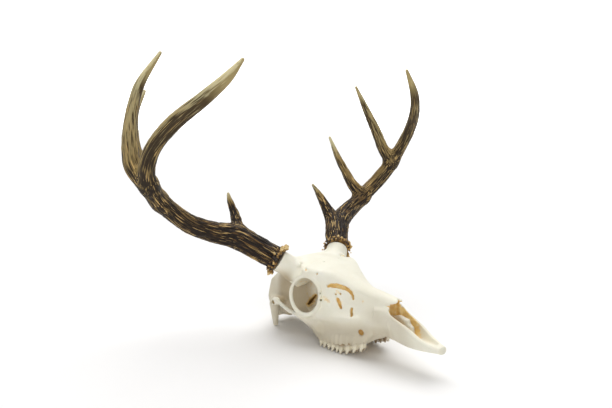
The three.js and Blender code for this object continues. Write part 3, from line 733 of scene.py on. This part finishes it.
def face_region(p):
    f, a, z = p
    back = 127 - f + 0.35 * np.maximum(z - 88, 0) + wave(z, a, 2.7, 0.4)
    molars = most(106 - f, z - 44, a - 47)
    return most(np.minimum(back, molars), past_maxilla(p), -nasal_region(p))


def cheek_region(p):
    f, a, z = p
    arch = most(30 - f, 40 - a, 30 - z, z - 80)
    bar = most(84 - f, 48 - a, 79 - z, z - 93)
    return most(np.minimum(arch, bar), -face_region(p), f - 134)


def cranium_region(p):
    return most(-face_region(p), -nasal_region(p), -cheek_region(p), p[0] - 180)


def mirrored(region, sign=0):
    """A region for both sides, or for the one side that the sign gives."""
    def shape(p):
        d = region((p[0], np.abs(p[1]), p[2]))
        return np.maximum(d, -sign * p[1]) if sign else d
    return shape


# Only the cranium takes the painted shade behind the eyes.
bone_piece("bone_cranium", mirrored(cranium_region), ((-9, -66, 14), (182, 66, 140)), "braincase",
           in_temple=1)

# ---------------------------------------------------------------------------
# Face: both maxillae with the lacrimal bones, a thin bleached shell that holds the
# cheek teeth. It is what the skull has between the sutures before and behind it.
bone_piece("bone_face", mirrored(face_region), ((104, -60, -2), (236, 60, 124)), "maxilla_with_teeth")

# ---------------------------------------------------------------------------
# Nasals: the two long bones that roof the nose and end in notched tips. They are
# of the same bleached bone, let in between the maxillae and the frontal bones.
bone_piece("bone_nasals", mirrored(nasal_region), ((144, -20, 50), (240, 20, 112)), "nasal_bones")

# ---------------------------------------------------------------------------
# Premaxillae: the toothless bones at the end of the snout, one a side. They are
# thin blades that wall the nose opening, sutured to the maxillae behind.
SIDES = (("left", 1), ("right", -1))


def premaxilla_region(p):
    return most(-past_maxilla(p), 150 - p[0], -nasal_region(p))


for name, sign in SIDES:
    inner, outer = sorted((0, sign * 30))
    bone_piece("bone_premaxilla_" + name, mirrored(premaxilla_region, sign),
               ((200, inner, 0), (296, outer, 80)), "premaxilla_" + name)

# ---------------------------------------------------------------------------
# Cheekbones: one a side, the slender arch that runs back from the eye socket to
# the ear, with the bar that closes the socket behind. They meet the face below it.
# The cheekbones take only part of the eye socket's painted shade.
for name, sign in SIDES:
    inner, outer = sorted((sign * 33, sign * 66))
    bone_piece("bone_cheek_" + name, mirrored(cheek_region, sign),
               ((24, inner, 20), (138, outer, 100)), "cheekbone_" + name, in_socket=0.35)

# ---------------------------------------------------------------------------
# Teeth: six cheek teeth a side, the three molars with two lobes each and the
# three premolars with one. They are enamel crowns with sharp outer cusps, set in
# the jaw by their roots, and the molars carry the front of the skull.
TEETH = [(123.5, 7.1), (138, 7.1), (151.6, 6.5), (163.6, 5.2), (174.2, 5), (184.4, 4.7)]
TOOTH_SIDE = [(112, 30), (150, 28.5), (190, 20.5)]
TOOTH_CELL = 0.5
PREMOLARS_FROM = 158
PREMOLAR_RISE = 0.4
CROWN_TOP = 20
CROWN_BREADTH = {"molar": 5.2, "premolar": 4.4}
RIBS = [(-0.85, 0.8), (0, 1.0), (0.85, 0.8)]


def lobe(fore, side, half_length, half_breadth, edge, top):
    """One crown lobe: a tapering oval pillar, its foot a sharp cusp outside and inside."""
    def distance(p):
        height = np.clip((p[2] - edge) / (top - edge), 0, 1)
        swell = 0.8 + 0.24 * np.sin(np.minimum(height * 1.3, 1) * math.pi * 0.75)
        lean = side + 1.3 * (1 - height)
        x = (p[0] - fore) / (half_length * swell)
        y = (p[1] - lean) / (half_breadth * swell)
        pillar = (np.sqrt(x * x + y * y) - 1) * half_length * 0.9
        rib = np.abs(x)
        cusp = edge + 6.5 * rib + 1.6 * np.exp(-((y - 0.1) / 0.35) ** 2) * (1 - 0.4 * rib) - p[2]
        return most(pillar, cusp * 0.7, p[2] - top)
    return distance


def enamel_finish():
    """Cream enamel, browner towards the gum and in the worn hollows, and painted darker on the inner side of
    the row as shade.
    """
    made = Finish("tooth enamel", Roughness=0.3, Coat_Weight=0.25)
    cloud = made.noise(260, 3)
    tone = made.mark("gum") + (cloud - 0.5) * 0.6
    cream = made.ramp(tone, [(0.1, colour(230, 221, 196)), (0.5, colour(204, 194, 168)),
                             (1.0, colour(150, 126, 90))])
    worn = made.mix(made.mark("worn"), cream, colour(120, 88, 52))
    return made.wear(Base_Color=worn, Roughness=0.25 + cloud * 0.2,
                     Normal=made.bump(cloud, 0.0004, 0.5))


ENAMEL = enamel_finish()


def premolar_rise(fore):
    """How much higher than the molars the chewing edge stands, ahead of them."""
    return np.maximum(0, fore - PREMOLARS_FROM) * PREMOLAR_RISE


def tooth_row(name, sign):
    """One side's teeth, mirrored for the right, browner at the gum and on the worn faces, with painted shade
    on the inner side.
    """
    row = Solid((106, 8, -8), (194, 42, 27), TOOTH_CELL)
    for fore, half_length in TEETH:
        rise = float(premolar_rise(fore))
        side, edge = float(along(TOOTH_SIDE, fore)), level_at(fore) + rise
        molar = fore < PREMOLARS_FROM
        size = half_length * (0.56 if molar else 1.0)
        breadth = CROWN_BREADTH["molar" if molar else "premolar"]
        for step in (-0.5, 0.5) if molar else (0,):
            at = fore + step * half_length * 0.98
            own_edge = level_at(at) + rise + (0.4 if step else 0)
            pillar = lobe(at, side, size, breadth, own_edge, CROWN_TOP)
            row.add(pillar, 0.6, (at - size - 2, side - 9, edge - 3), (at + size + 2, side + 9, 24), False)
            for rib, radius in RIBS:
                top = (at + rib * size, side + (3.0 if rib else 3.8), 17)
                foot = (at + rib * size * 0.8, side + (4.4 if rib else 5.6), own_edge + (6.4 if rib else 1.6))
                row.add(rod(top, foot, radius), 1.0, *span([top, foot], 3), False)
    roots = [(fore, float(along(TOOTH_SIDE, fore)), 18.5) for fore, _ in TEETH]
    row.add(chain(roots, 2.8), 1, *span(roots, 6), False)
    where, p = row.block((100, 0, -10), (200, 60, 30))
    row.distance[where] = np.maximum(row.distance[where], level_at(p[0]) - p[2])
    points, faces = surface(row.distance, row.low, TOOTH_CELL)
    points[:, 1] *= sign
    if sign < 0:
        faces = faces[:, ::-1]
    fore, up = points[:, 0], points[:, 2]
    rise = up - level_at(fore) - premolar_rise(fore)
    outward = np.abs(points[:, 1]) - along(TOOTH_SIDE, fore)
    hollow = ease(np.abs(outward - 1.3), 2.6, 0.8) * ease(rise, 4.5, 1.5)
    # The worn mark holds the worn hollows and also painted shade along the inner side of the row.
    marks = {"gum": ease(rise, 6, 14), "worn": most(hollow, 0.8 * ease(outward, 1, -3))}
    made = build("teeth_" + name, points, faces, ENAMEL, marks)
    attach(made, "root")
    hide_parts("maxilla_with_teeth")


for name, sign in SIDES:
    tooth_row(name, sign)

# ---------------------------------------------------------------------------
# Antlers: one solid horn of bone a side, forked three times on the beam. Each is
# a bent tapering bar with its tines grown on, furrowed lengthways where the
# blood vessels of the velvet ran, rough near the burr and polished at the tips.
ANTLER_CELL = 0.9
LINK_MM = 2.5
FORK_FILLET = 9.0
RELIEF_MM = 1.25
ROUGH_BY_WAY = [(0, 1.5), (60, 1.05), (200, 0.55), (360, 0.28)]
ROUGH_AT_TIP = 0.12
BURR = {"radius": 21, "depth": 9, "knob": 1.9}
RIGHT = {
    "beam": [(73, -55.5, 121.5, 16), (53, -75, 141, 16.2), (35, -92, 157, 16), (23, -122, 168, 14),
             (20, -156, 183, 12.4), (25, -187, 206, 11.5), (40, -214, 229, 11.5),
             (58, -228, 254, 10), (76, -227, 277, 9.3), (104, -213, 303, 9.4),
             (135, -186, 329, 8.2), (150, -166, 348, 6.4), (156, -147, 368, 2.4)],
    "brow": [(34, -90, 156, 12), (28, -87, 175, 8), (20, -84, 190, 5.6), (12, -84, 207, 4),
             (5, -81, 217, 2)],
    "second": [(29, -199, 214, 9.5), (14, -212, 259, 8.5), (-5, -210, 296, 7.5),
               (-20.5, -198, 332, 6), (-29, -176, 363, 2.2)],
    "third": [(45, -221, 236, 10.5), (34, -232, 258, 10.5), (27, -231, 281, 10),
              (18, -222, 318, 8), (14, -213, 342, 6.9), (13, -202, 365, 6),
              (17.5, -173, 404, 2.3)],
}
LEFT = {
    "beam": [(73, 55.5, 121.5, 16), (55, 76, 138, 15.8), (39, 97, 154, 15.5), (26, 127, 168, 14),
             (21, 157, 181, 12.4), (23, 186, 199, 12), (41, 215, 230, 11.5), (59, 226, 257, 10),
             (79, 223, 276, 9), (104, 212, 297, 8.6), (135, 186, 320, 7.4), (151, 166, 342, 6),
             (157.5, 145, 372, 2.2)],
    "brow": [(53, 72, 142, 12), (46, 80, 151, 12), (38, 86, 161, 11.5), (30, 87, 172, 9.5),
             (22, 85, 187, 7.2), (14, 83, 203, 4.8), (6.5, 79, 218, 1.9)],
    "second": [(22, 175, 190, 10.5), (14, 161, 213, 8.5), (5, 158, 231, 7.2), (-10, 157, 258, 5.5),
               (-31.5, 162, 296, 2)],
    "third": [(50, 221, 244, 10.5), (40, 213, 272, 9), (32, 210, 298, 8), (22, 201, 336, 5.7),
              (18, 185, 374, 2)],
}
NODES_OF_ANTLER = ("beam_base", "beam_lower", "beam_middle", "beam_tip", "tine_brow",
                   "tine_second", "tine_third")


class Curve:
    """A smooth line through stations (fore, side, up, radius), sampled link by link."""

    def __init__(self, stations):
        s = np.array(stations, float)
        ends = np.vstack((2 * s[0] - s[1], s, 2 * s[-1] - s[-2]))[:, :3]
        last = len(s) - 1
        length = np.linalg.norm(np.diff(s[:, :3], axis=0), axis=1).sum()
        t = np.linspace(0, last, int(length / LINK_MM) + 2)
        i = np.minimum(t.astype(int), last - 1)
        u = (t - i)[:, None]
        x0, x1, x2, x3 = (ends[i + n] for n in range(4))
        d0, d1, d2 = (np.sqrt(np.linalg.norm(b - a, axis=1))[:, None]
                      for a, b in ((x0, x1), (x1, x2), (x2, x3)))
        t1 = ((x1 - x0) / d0 - (x2 - x0) / (d0 + d1) + (x2 - x1) / d1) * d1
        t2 = ((x2 - x1) / d1 - (x3 - x1) / (d1 + d2) + (x3 - x2) / d2) * d1
        self.points = (x1 + t1 * u + (3 * (x2 - x1) - 2 * t1 - t2) * u ** 2
                       + (2 * (x1 - x2) + t1 + t2) * u ** 3)
        self.radii = along([(n, r) for n, r in enumerate(s[:, 3])], t)
        steps = np.linalg.norm(np.diff(self.points, axis=0), axis=1)
        self.reach = np.concatenate(([0], np.cumsum(steps)))
        self.ahead = np.gradient(self.points, axis=0)
        self.ahead /= np.linalg.norm(self.ahead, axis=1)[:, None]
        normal, normals = np.array((0, 0, 1.0)), []
        for ahead in self.ahead:
            normal = normal - ahead * (normal @ ahead)
            normal /= np.linalg.norm(normal)
            normals.append(normal)
        self.normal = np.array(normals)
        self.across = np.cross(self.normal, self.ahead)

    def fill(self, solid, margin, run=4):
        """Writes the bent bar's distances into a solid, a few links at a time."""
        for i in range(0, len(self.points) - 1, run):
            points, radii = self.points[i:i + run + 1], self.radii[i:i + run + 1]
            where, p = solid.block(*span(points, radii.max() + margin))
            bar = chain(list(points), list(radii))(p)
            solid.distance[where] = np.minimum(solid.distance[where], bar)

    def nearest(self, points):
        """For each point: gap to the bar, cross-section place and way along."""
        p = points.astype(np.float32)
        q = self.points.astype(np.float32)
        square = (p ** 2).sum(1)[:, None] + (q ** 2).sum(1)[None] - 2 * p @ q.T
        away = np.sqrt(np.maximum(square, 0)) - self.radii[None]
        i = away.argmin(1)
        off = points - self.points[i]
        place = [(off * axis[i]).sum(1) for axis in (self.normal, self.across)]
        way = self.reach[i] + (off * self.ahead[i]).sum(1)
        return away[np.arange(len(p)), i], place[0], place[1], way


LATTICE = np.random.default_rng(11).random((32, 32, 32)).astype(np.float32) * 2 - 1


def ripple(x, y, z):
    """Smooth wandering values from -1 to 1, one lump to each unit, the same on every run."""
    grid = [np.floor(v).astype(int) for v in (x, y, z)]
    t = [(v - g).astype(np.float32) for v, g in zip((x, y, z), grid)]
    t = [v * v * (3 - 2 * v) for v in t]
    value = 0
    for corner in range(8):
        step = (corner & 1, corner >> 1 & 1, corner >> 2 & 1)
        weight = 1
        for side, v in zip(step, t):
            weight = weight * (v if side else 1 - v)
        value = value + weight * LATTICE[tuple((g + s) % 32 for g, s in zip(grid, step))]
    return value


def furrows(x, y, way):
    """Height of the relief from -1 in the deepest furrow to 1, all run lengthways."""
    wide = ripple(x / 4.4 + 7, y / 4.4, way / 34)
    fine = ripple(x / 2.4, y / 2.4 + 5, way / 17)
    crumb = ripple(x / 1.9 + 3, y / 1.9, way / 4.5)
    groove = -(1 - np.minimum(np.abs(wide) / 0.34, 1)) ** 1.5
    thread = -(1 - np.minimum(np.abs(fine) / 0.4, 1)) ** 1.5
    swell = 0.5 * ripple(x / 8, y / 8 + 11, way / 26)
    return 0.4 + swell + 1.1 * groove + 0.55 * thread + 0.3 * crumb


def normals_of(points, faces):
    """The surface's direction at each point."""
    c = points[faces]
    flat = np.cross(c[:, 2] - c[:, 0], c[:, 3] - c[:, 1])
    total = np.stack([
        np.bincount(faces.ravel(), np.repeat(flat[:, n], 4), len(points)) for n in range(3)
    ], axis=1)
    return total / np.maximum(np.linalg.norm(total, axis=1), 1e-9)[:, None]


def antler_finish():
    """Dark brown horn with paler ridges, greyer up the beam, and paler on upward faces as painted top light
    that also stands for rubbing.
    """
    made = Finish("antler horn", Roughness=0.55, Specular_IOR_Level=0.25)
    reach, height = made.mark("reach"), made.mark("height")
    bark = made.node("Attribute", {"attribute_name": "bark"}, output="Vector")
    thread = made.noise(0.6, 3, bark, (1, 1, 0.07))
    patch = made.noise(40, 3)
    furrow = made.ramp(reach, [(0.0, colour(26, 14, 6)), (0.4, colour(32, 22, 11)),
                               (0.75, colour(74, 58, 30)), (1.0, colour(166, 148, 100))])
    ridge = made.ramp(reach, [(0.0, colour(122, 88, 40)), (0.2, colour(104, 76, 38)),
                              (0.45, colour(150, 126, 76)), (0.75, colour(186, 176, 134)),
                              (1.0, colour(216, 203, 158))])
    streaks = (thread - 0.5) * (4.4 - reach * 1.6)
    # Painted top light, partly rubbing: upward faces turn to the pale ridge colours and downward faces stay
    # dark.
    worn = made.mark("rub") + streaks + height * 0.3 + (patch - 0.5) * 0.6
    horn = made.mix(made.between(0.1, 0.95, worn), furrow, ridge)
    crest = made.between(0.58, 0.68, made.noise(0.75, 2, bark, (1, 1, 0.035)) + height * 0.04)
    fade = made.between(0.95, 0.35, reach)
    horn = made.mix(crest * fade * 0.85, horn, colour(220, 184, 118))
    bump = made.bump(thread + made.noise(700, 3) * 0.3, 0.0007, 0.6)
    return made.wear(Base_Color=horn, Roughness=0.5 + patch * 0.2, Normal=bump)


HORN = antler_finish()


def antler(name, lines, polish):
    """One antler, its tines grown on to the beam and rubbed smooth for some way at the tips."""
    curves = {part: Curve(stations) for part, stations in lines.items()}
    everything = np.vstack([c.points for c in curves.values()])
    low, high = span(everything, 24)
    whole = Solid(low, high, ANTLER_CELL)
    curves["beam"].fill(whole, FORK_FILLET + 2)
    for part in ("brow", "second", "third"):
        tine = Solid(low, high, ANTLER_CELL)
        curves[part].fill(tine, FORK_FILLET + 2)
        where, _ = whole.block(*span(curves[part].points, 30))
        whole.distance[where] = join(whole.distance[where], tine.distance[where], FORK_FILLET)
    foot = np.array(lines["beam"][0][:3], float)
    ahead = curves["beam"].ahead[0]
    where, p = whole.block(*span([foot], 45))
    beneath = BURR["depth"] * 0.45 - sum((p[i] - foot[i]) * ahead[i] for i in range(3))
    whole.distance[where] = np.maximum(whole.distance[where], beneath)
    points, faces = surface(whole.distance, whole.low, ANTLER_CELL)
    found = {part: curve.nearest(points) for part, curve in curves.items()}
    gaps = np.stack([near[0] for near in found.values()])
    share = np.exp(-np.clip(gaps - gaps.min(0), 0, 30) / 2.0)
    share /= share.sum(0)
    total = curves["beam"].reach[-1]
    start = {part: curves["beam"].nearest(curve.points[:1])[3][0] for part, curve in curves.items()}
    start["beam"] = 0
    height, reach, bark = 0, 0, np.zeros((len(points), 3))
    own = gaps.argmin(0)
    for n, (part, (_, x, y, way)) in enumerate(found.items()):
        tip = curves[part].reach[-1]
        polished = min(polish, 0.4 * tip)
        worn = ease(way, tip - polished, tip)
        rough = np.interp(start[part] + way, *zip(*ROUGH_BY_WAY, (total, ROUGH_AT_TIP)))
        rough = rough * (1 - 0.85 * worn)
        shift = 37.0 * n + (13 if name == "left" else 0)
        relief = furrows(x + shift, y, way)
        height = height + share[n] * relief * rough
        far = np.clip((start[part] + way) / (0.9 * total), 0, 1)
        reach = reach + share[n] * np.clip(0.72 * far + 0.42 * ease(way, tip - polished, tip), 0, 1)
        mine = own == n
        bark[mine] = np.stack((x + shift, y, way), axis=1)[mine]
    outward = normals_of(points, faces)
    raised = points + outward * (height * RELIEF_MM)[:, None]
    # Painted top light, partly rubbing: faces that turn upwards are marked paler, more so up the beam.
    rub = ease(outward[:, 2], -0.4, 0.65) * ease(reach, 0.12, 0.42)
    marks = {"height": height, "reach": reach, "rub": rub}
    made = build("antler_" + name, raised, faces, HORN, marks)
    mark_points(made.data, "bark", bark, "FLOAT_VECTOR", "vector")
    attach(made, "root")
    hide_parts(*(f"{node}_{name}" for node in NODES_OF_ANTLER))
    return curves["beam"]


beams = {"left": antler("left", LEFT, polish=50), "right": antler("right", RIGHT, polish=85)}

# ---------------------------------------------------------------------------
# Burrs: the beaded collar of horn at the foot of each antler, where it grew from
# the pedicle. Three rows of knobs of mixed size are set round a short thick disc
# and fused into one lumpy ring.
BURR_DISC = 0.79
BURR_VOXEL = 0.0006
BURR_ROWS = ((0.80, 0.1, 0.9), (0.90, 0.45, 1.15), (0.83, 0.85, 0.9))
KNOB_WANDER = (0.0016, 0.0016, 0.0014)


def burr_tree():
    """Nodes that ring a disc with three rows of random knobs and fuse them all."""
    tree = bpy.data.node_groups.new("beaded collar", "GeometryNodeTree")
    named = {}
    for name, kind in (("Geometry", "Geometry"), ("Radius", "Float"), ("Depth", "Float"),
                       ("Knob", "Float"), ("Knobs", "Int"), ("Seed", "Int"), ("Finish", "Material")):
        named[name] = tree.interface.new_socket(
            name, in_out="INPUT", socket_type="NodeSocket" + kind).identifier
    tree.interface.new_socket("Geometry", in_out="OUTPUT", socket_type="NodeSocketGeometry")
    given = tree.nodes.new("NodeGroupInput")
    result = tree.nodes.new("NodeGroupOutput")
    radius, depth, knob, knobs, seed, finish = (Value(tree, given.outputs[name]) for name in
                                                ("Radius", "Depth", "Knob", "Knobs", "Seed", "Finish"))

    def node(kind, values, settings=None):
        return add_node(tree, kind, settings, values)

    rows = []
    for row, (out, rise, size) in enumerate(BURR_ROWS):
        own_seed = seed + row * 7.0
        ring = node("GeometryNodeCurvePrimitiveCircle", {"Resolution": 96, "Radius": radius * out})
        points = node("GeometryNodeCurveToPoints", {"Curve": ring, "Count": knobs}, {"mode": "COUNT"})
        wander = node("FunctionNodeRandomValue", {"Min": tuple(-w for w in KNOB_WANDER), "Max": KNOB_WANDER,
                                                  "Seed": own_seed}, {"data_type": "FLOAT_VECTOR"})
        height = node("ShaderNodeCombineXYZ", {"Z": depth * rise})
        shift = node("ShaderNodeVectorMath", {0: wander, 1: height}, {"operation": "ADD"})
        points = node("GeometryNodeSetPosition", {"Geometry": points, "Offset": shift})
        bead = node("GeometryNodeMeshIcoSphere", {"Radius": knob * size, "Subdivisions": 2})
        scale = node("FunctionNodeRandomValue", {"Min": 0.45, "Max": 1.5, "Seed": own_seed + 3.0},
                     {"data_type": "FLOAT"})
        rows.append(node("GeometryNodeInstanceOnPoints",
                         {"Points": points, "Instance": bead, "Scale": scale}))
    disc = node("GeometryNodeMeshCylinder", {"Vertices": 48, "Radius": radius * BURR_DISC, "Depth": depth})
    lift = node("ShaderNodeCombineXYZ", {"Z": depth * 0.5})
    disc = node("GeometryNodeTransform", {"Geometry": disc, "Translation": lift})
    together = tree.nodes.new("GeometryNodeJoinGeometry")
    for part in (*rows, disc):
        tree.links.new(part.socket, together.inputs[0])
    whole = node("GeometryNodeRealizeInstances", {"Geometry": Value(tree, together.outputs[0])})
    volume = node("GeometryNodeMeshToVolume",
                  {"Mesh": whole, "Voxel Size": BURR_VOXEL, "Interior Band Width": 0.02},
                  {"resolution_mode": "VOXEL_SIZE"})
    collar = node("GeometryNodeVolumeToMesh",
                  {"Volume": volume, "Voxel Size": BURR_VOXEL, "Threshold": 0.1},
                  {"resolution_mode": "VOXEL_SIZE"})
    painted = node("GeometryNodeSetMaterial", {"Geometry": collar, "Material": finish})
    tree.links.new(painted.socket, result.inputs[0])
    return tree, named


def burr_finish():
    """Golden horn, dark in the crevices between the knobs."""
    made = Finish("burr horn", Roughness=0.5)
    cloud = made.noise(220, 3)
    tone = made.mark("height") + (cloud - 0.5) * 0.9
    horn = made.ramp(tone, [(0.05, colour(30, 18, 8)), (0.35, colour(96, 66, 28)),
                            (0.65, colour(182, 142, 72)), (1.0, colour(232, 206, 148))])
    return made.wear(Base_Color=horn, Roughness=0.45 + cloud * 0.2,
                     Normal=made.bump(cloud + made.noise(900, 2) * 0.4, 0.0006, 0.6))


BURR_HORN = burr_finish()
collar_tree, collar_inputs = burr_tree()


def burr(name, beam, seed, knobs, prongs):
    """One burr, square to the foot of its beam. A prong is an angle, spread, reach and lean."""
    blank = bpy.data.objects.new("burr_blank", bpy.data.meshes.new("burr_blank"))
    scene.collection.objects.link(blank)
    modifier = blank.modifiers.new("collar", "NODES")
    modifier.node_group = collar_tree
    sizes = {"Radius": BURR["radius"] / 1000, "Depth": BURR["depth"] / 1000,
             "Knob": BURR["knob"] / 1000, "Knobs": knobs, "Seed": seed, "Finish": BURR_HORN}
    for label, value in sizes.items():
        modifier[collar_inputs[label]] = value
    evaluated = blank.evaluated_get(bpy.context.evaluated_depsgraph_get())
    mesh = bpy.data.meshes.new_from_object(evaluated)
    blank.modifiers.remove(modifier)
    bpy.data.objects.remove(blank)
    local = np.empty(len(mesh.vertices) * 3, np.float32)
    mesh.vertices.foreach_get("co", local)
    local = local.reshape(-1, 3) * 1000
    crumb = ripple(*(local.T / 2.1 + seed)) + 0.6 * ripple(*(local.T / 1.1))
    away = np.hypot(local[:, 0], local[:, 1])
    turn = np.degrees(np.arctan2(local[:, 1], local[:, 0]))
    local = local * np.stack((1 + 0.05 * crumb, 1 + 0.05 * crumb, 1 + 0.08 * crumb), axis=1)
    for angle, spread, reach, lean in prongs:
        off = (turn - angle + 180) % 360 - 180
        pull = np.exp(-(off / spread) ** 2) * ease(away, 13, 20)
        local[:, :2] *= (1 + pull * reach / 20)[:, None]
        local[:, 2] += pull * lean
    across, up = np.hypot(local[:, 0], local[:, 1]), local[:, 2]
    height = most(ease(across, 16, 21.5) * 0.85, 0.5 * ease(up, 1.0, 0.2)) + 0.16 * crumb
    place = (beam.points[0] + local[:, :1] * beam.normal[0] + local[:, 1:2] * beam.across[0]
             + local[:, 2:] * beam.ahead[0])
    mesh.vertices.foreach_set("co", seat(place).astype(np.float32).ravel())
    mark_points(mesh, "height", height)
    mesh.shade_smooth()
    mesh.update()
    made = bpy.data.objects.new("burr_ring_" + name, mesh)
    scene.collection.objects.link(made)
    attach(made, "root")
    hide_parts("burr_" + name)


burr("right", beams["right"], seed=4, knobs=33,
     prongs=[(12, 14, 3, -4.5), (165, 12, 3, -1.5), (200, 9, 2, 0)])
burr("left", beams["left"], seed=9, knobs=35, prongs=[(235, 24, 3, -7.5), (95, 10, 1.5, 0)])

# ---------------------------------------------------------------------------
# Stage: a plain pale floor of matt paper under soft white light from above. It is
# no part of the skull, which only rests on it.
FLOOR_HALF = 12.0
floor_mesh = bpy.data.meshes.new("floor")
floor_mesh.from_pydata(
    [(x * FLOOR_HALF, y * FLOOR_HALF, 0) for x, y in ((-1, -1), (1, -1), (1, 1), (-1, 1))],
    [], [(0, 1, 2, 3)])
floor = bpy.data.objects.new("floor", floor_mesh)
scene.collection.objects.link(floor)
paper = Finish("pale floor", Roughness=0.8)
floor_mesh.materials.append(paper.wear(Base_Color=paper.ramp(
    paper.noise(3, 2), [(0.3, colour(244, 243, 242)), (0.7, colour(248, 247, 246))])))

# A low ring of lit white cloth far out, so that the floor runs out into plain white.
CLOTH = {"radius": 10.0, "height": 2.4, "sides": 64}
ring = [(CLOTH["radius"] * math.cos(turn * math.tau / CLOTH["sides"]),
         CLOTH["radius"] * math.sin(turn * math.tau / CLOTH["sides"])) for turn in range(CLOTH["sides"])]
cloth_mesh = bpy.data.meshes.new("backcloth")
cloth_mesh.from_pydata(
    [(x, y, z) for z in (0, CLOTH["height"]) for x, y in ring], [],
    [(i, (i + 1) % CLOTH["sides"], (i + 1) % CLOTH["sides"] + CLOTH["sides"], i + CLOTH["sides"])
     for i in range(CLOTH["sides"])])
cloth = bpy.data.objects.new("backcloth", cloth_mesh)
cloth.visible_shadow = False
cloth.visible_diffuse = False
scene.collection.objects.link(cloth)
white = Finish("lit cloth", Roughness=1.0, Emission_Strength=1.0)
cloth_mesh.materials.append(white.wear(Emission_Color=white.ramp(
    white.noise(1, 1), [(0.4, (0.99, 0.99, 0.99, 1)), (0.6, (1, 1, 1, 1))])))

ROOM_LIGHT = 0.14
world = bpy.data.worlds.new("white room")
world.use_nodes = True
world.node_tree.nodes["Background"].inputs["Color"].default_value = (1, 1, 1, 1)
world.node_tree.nodes["Background"].inputs["Strength"].default_value = ROOM_LIGHT
scene.world = world
scene.view_settings.view_transform = "Standard"

# The lights: a wide soft box high up behind the skull, and a weaker one before it.
SOFTBOXES = [
    {"from": (0.24, 0.26, 0.93), "strength": 2.9, "softness": math.radians(72)},
    {"from": (-0.62, -0.62, 0.48), "strength": 0.95, "softness": math.radians(50)},
]
for light in SOFTBOXES:
    lamp = bpy.data.lights.new("softbox", "SUN")
    lamp.energy, lamp.angle = light["strength"], light["softness"]
    softbox = bpy.data.objects.new("softbox", lamp)
    softbox.rotation_euler = (-Vector(light["from"])).to_track_quat("-Z", "Y").to_euler()
    scene.collection.objects.link(softbox)
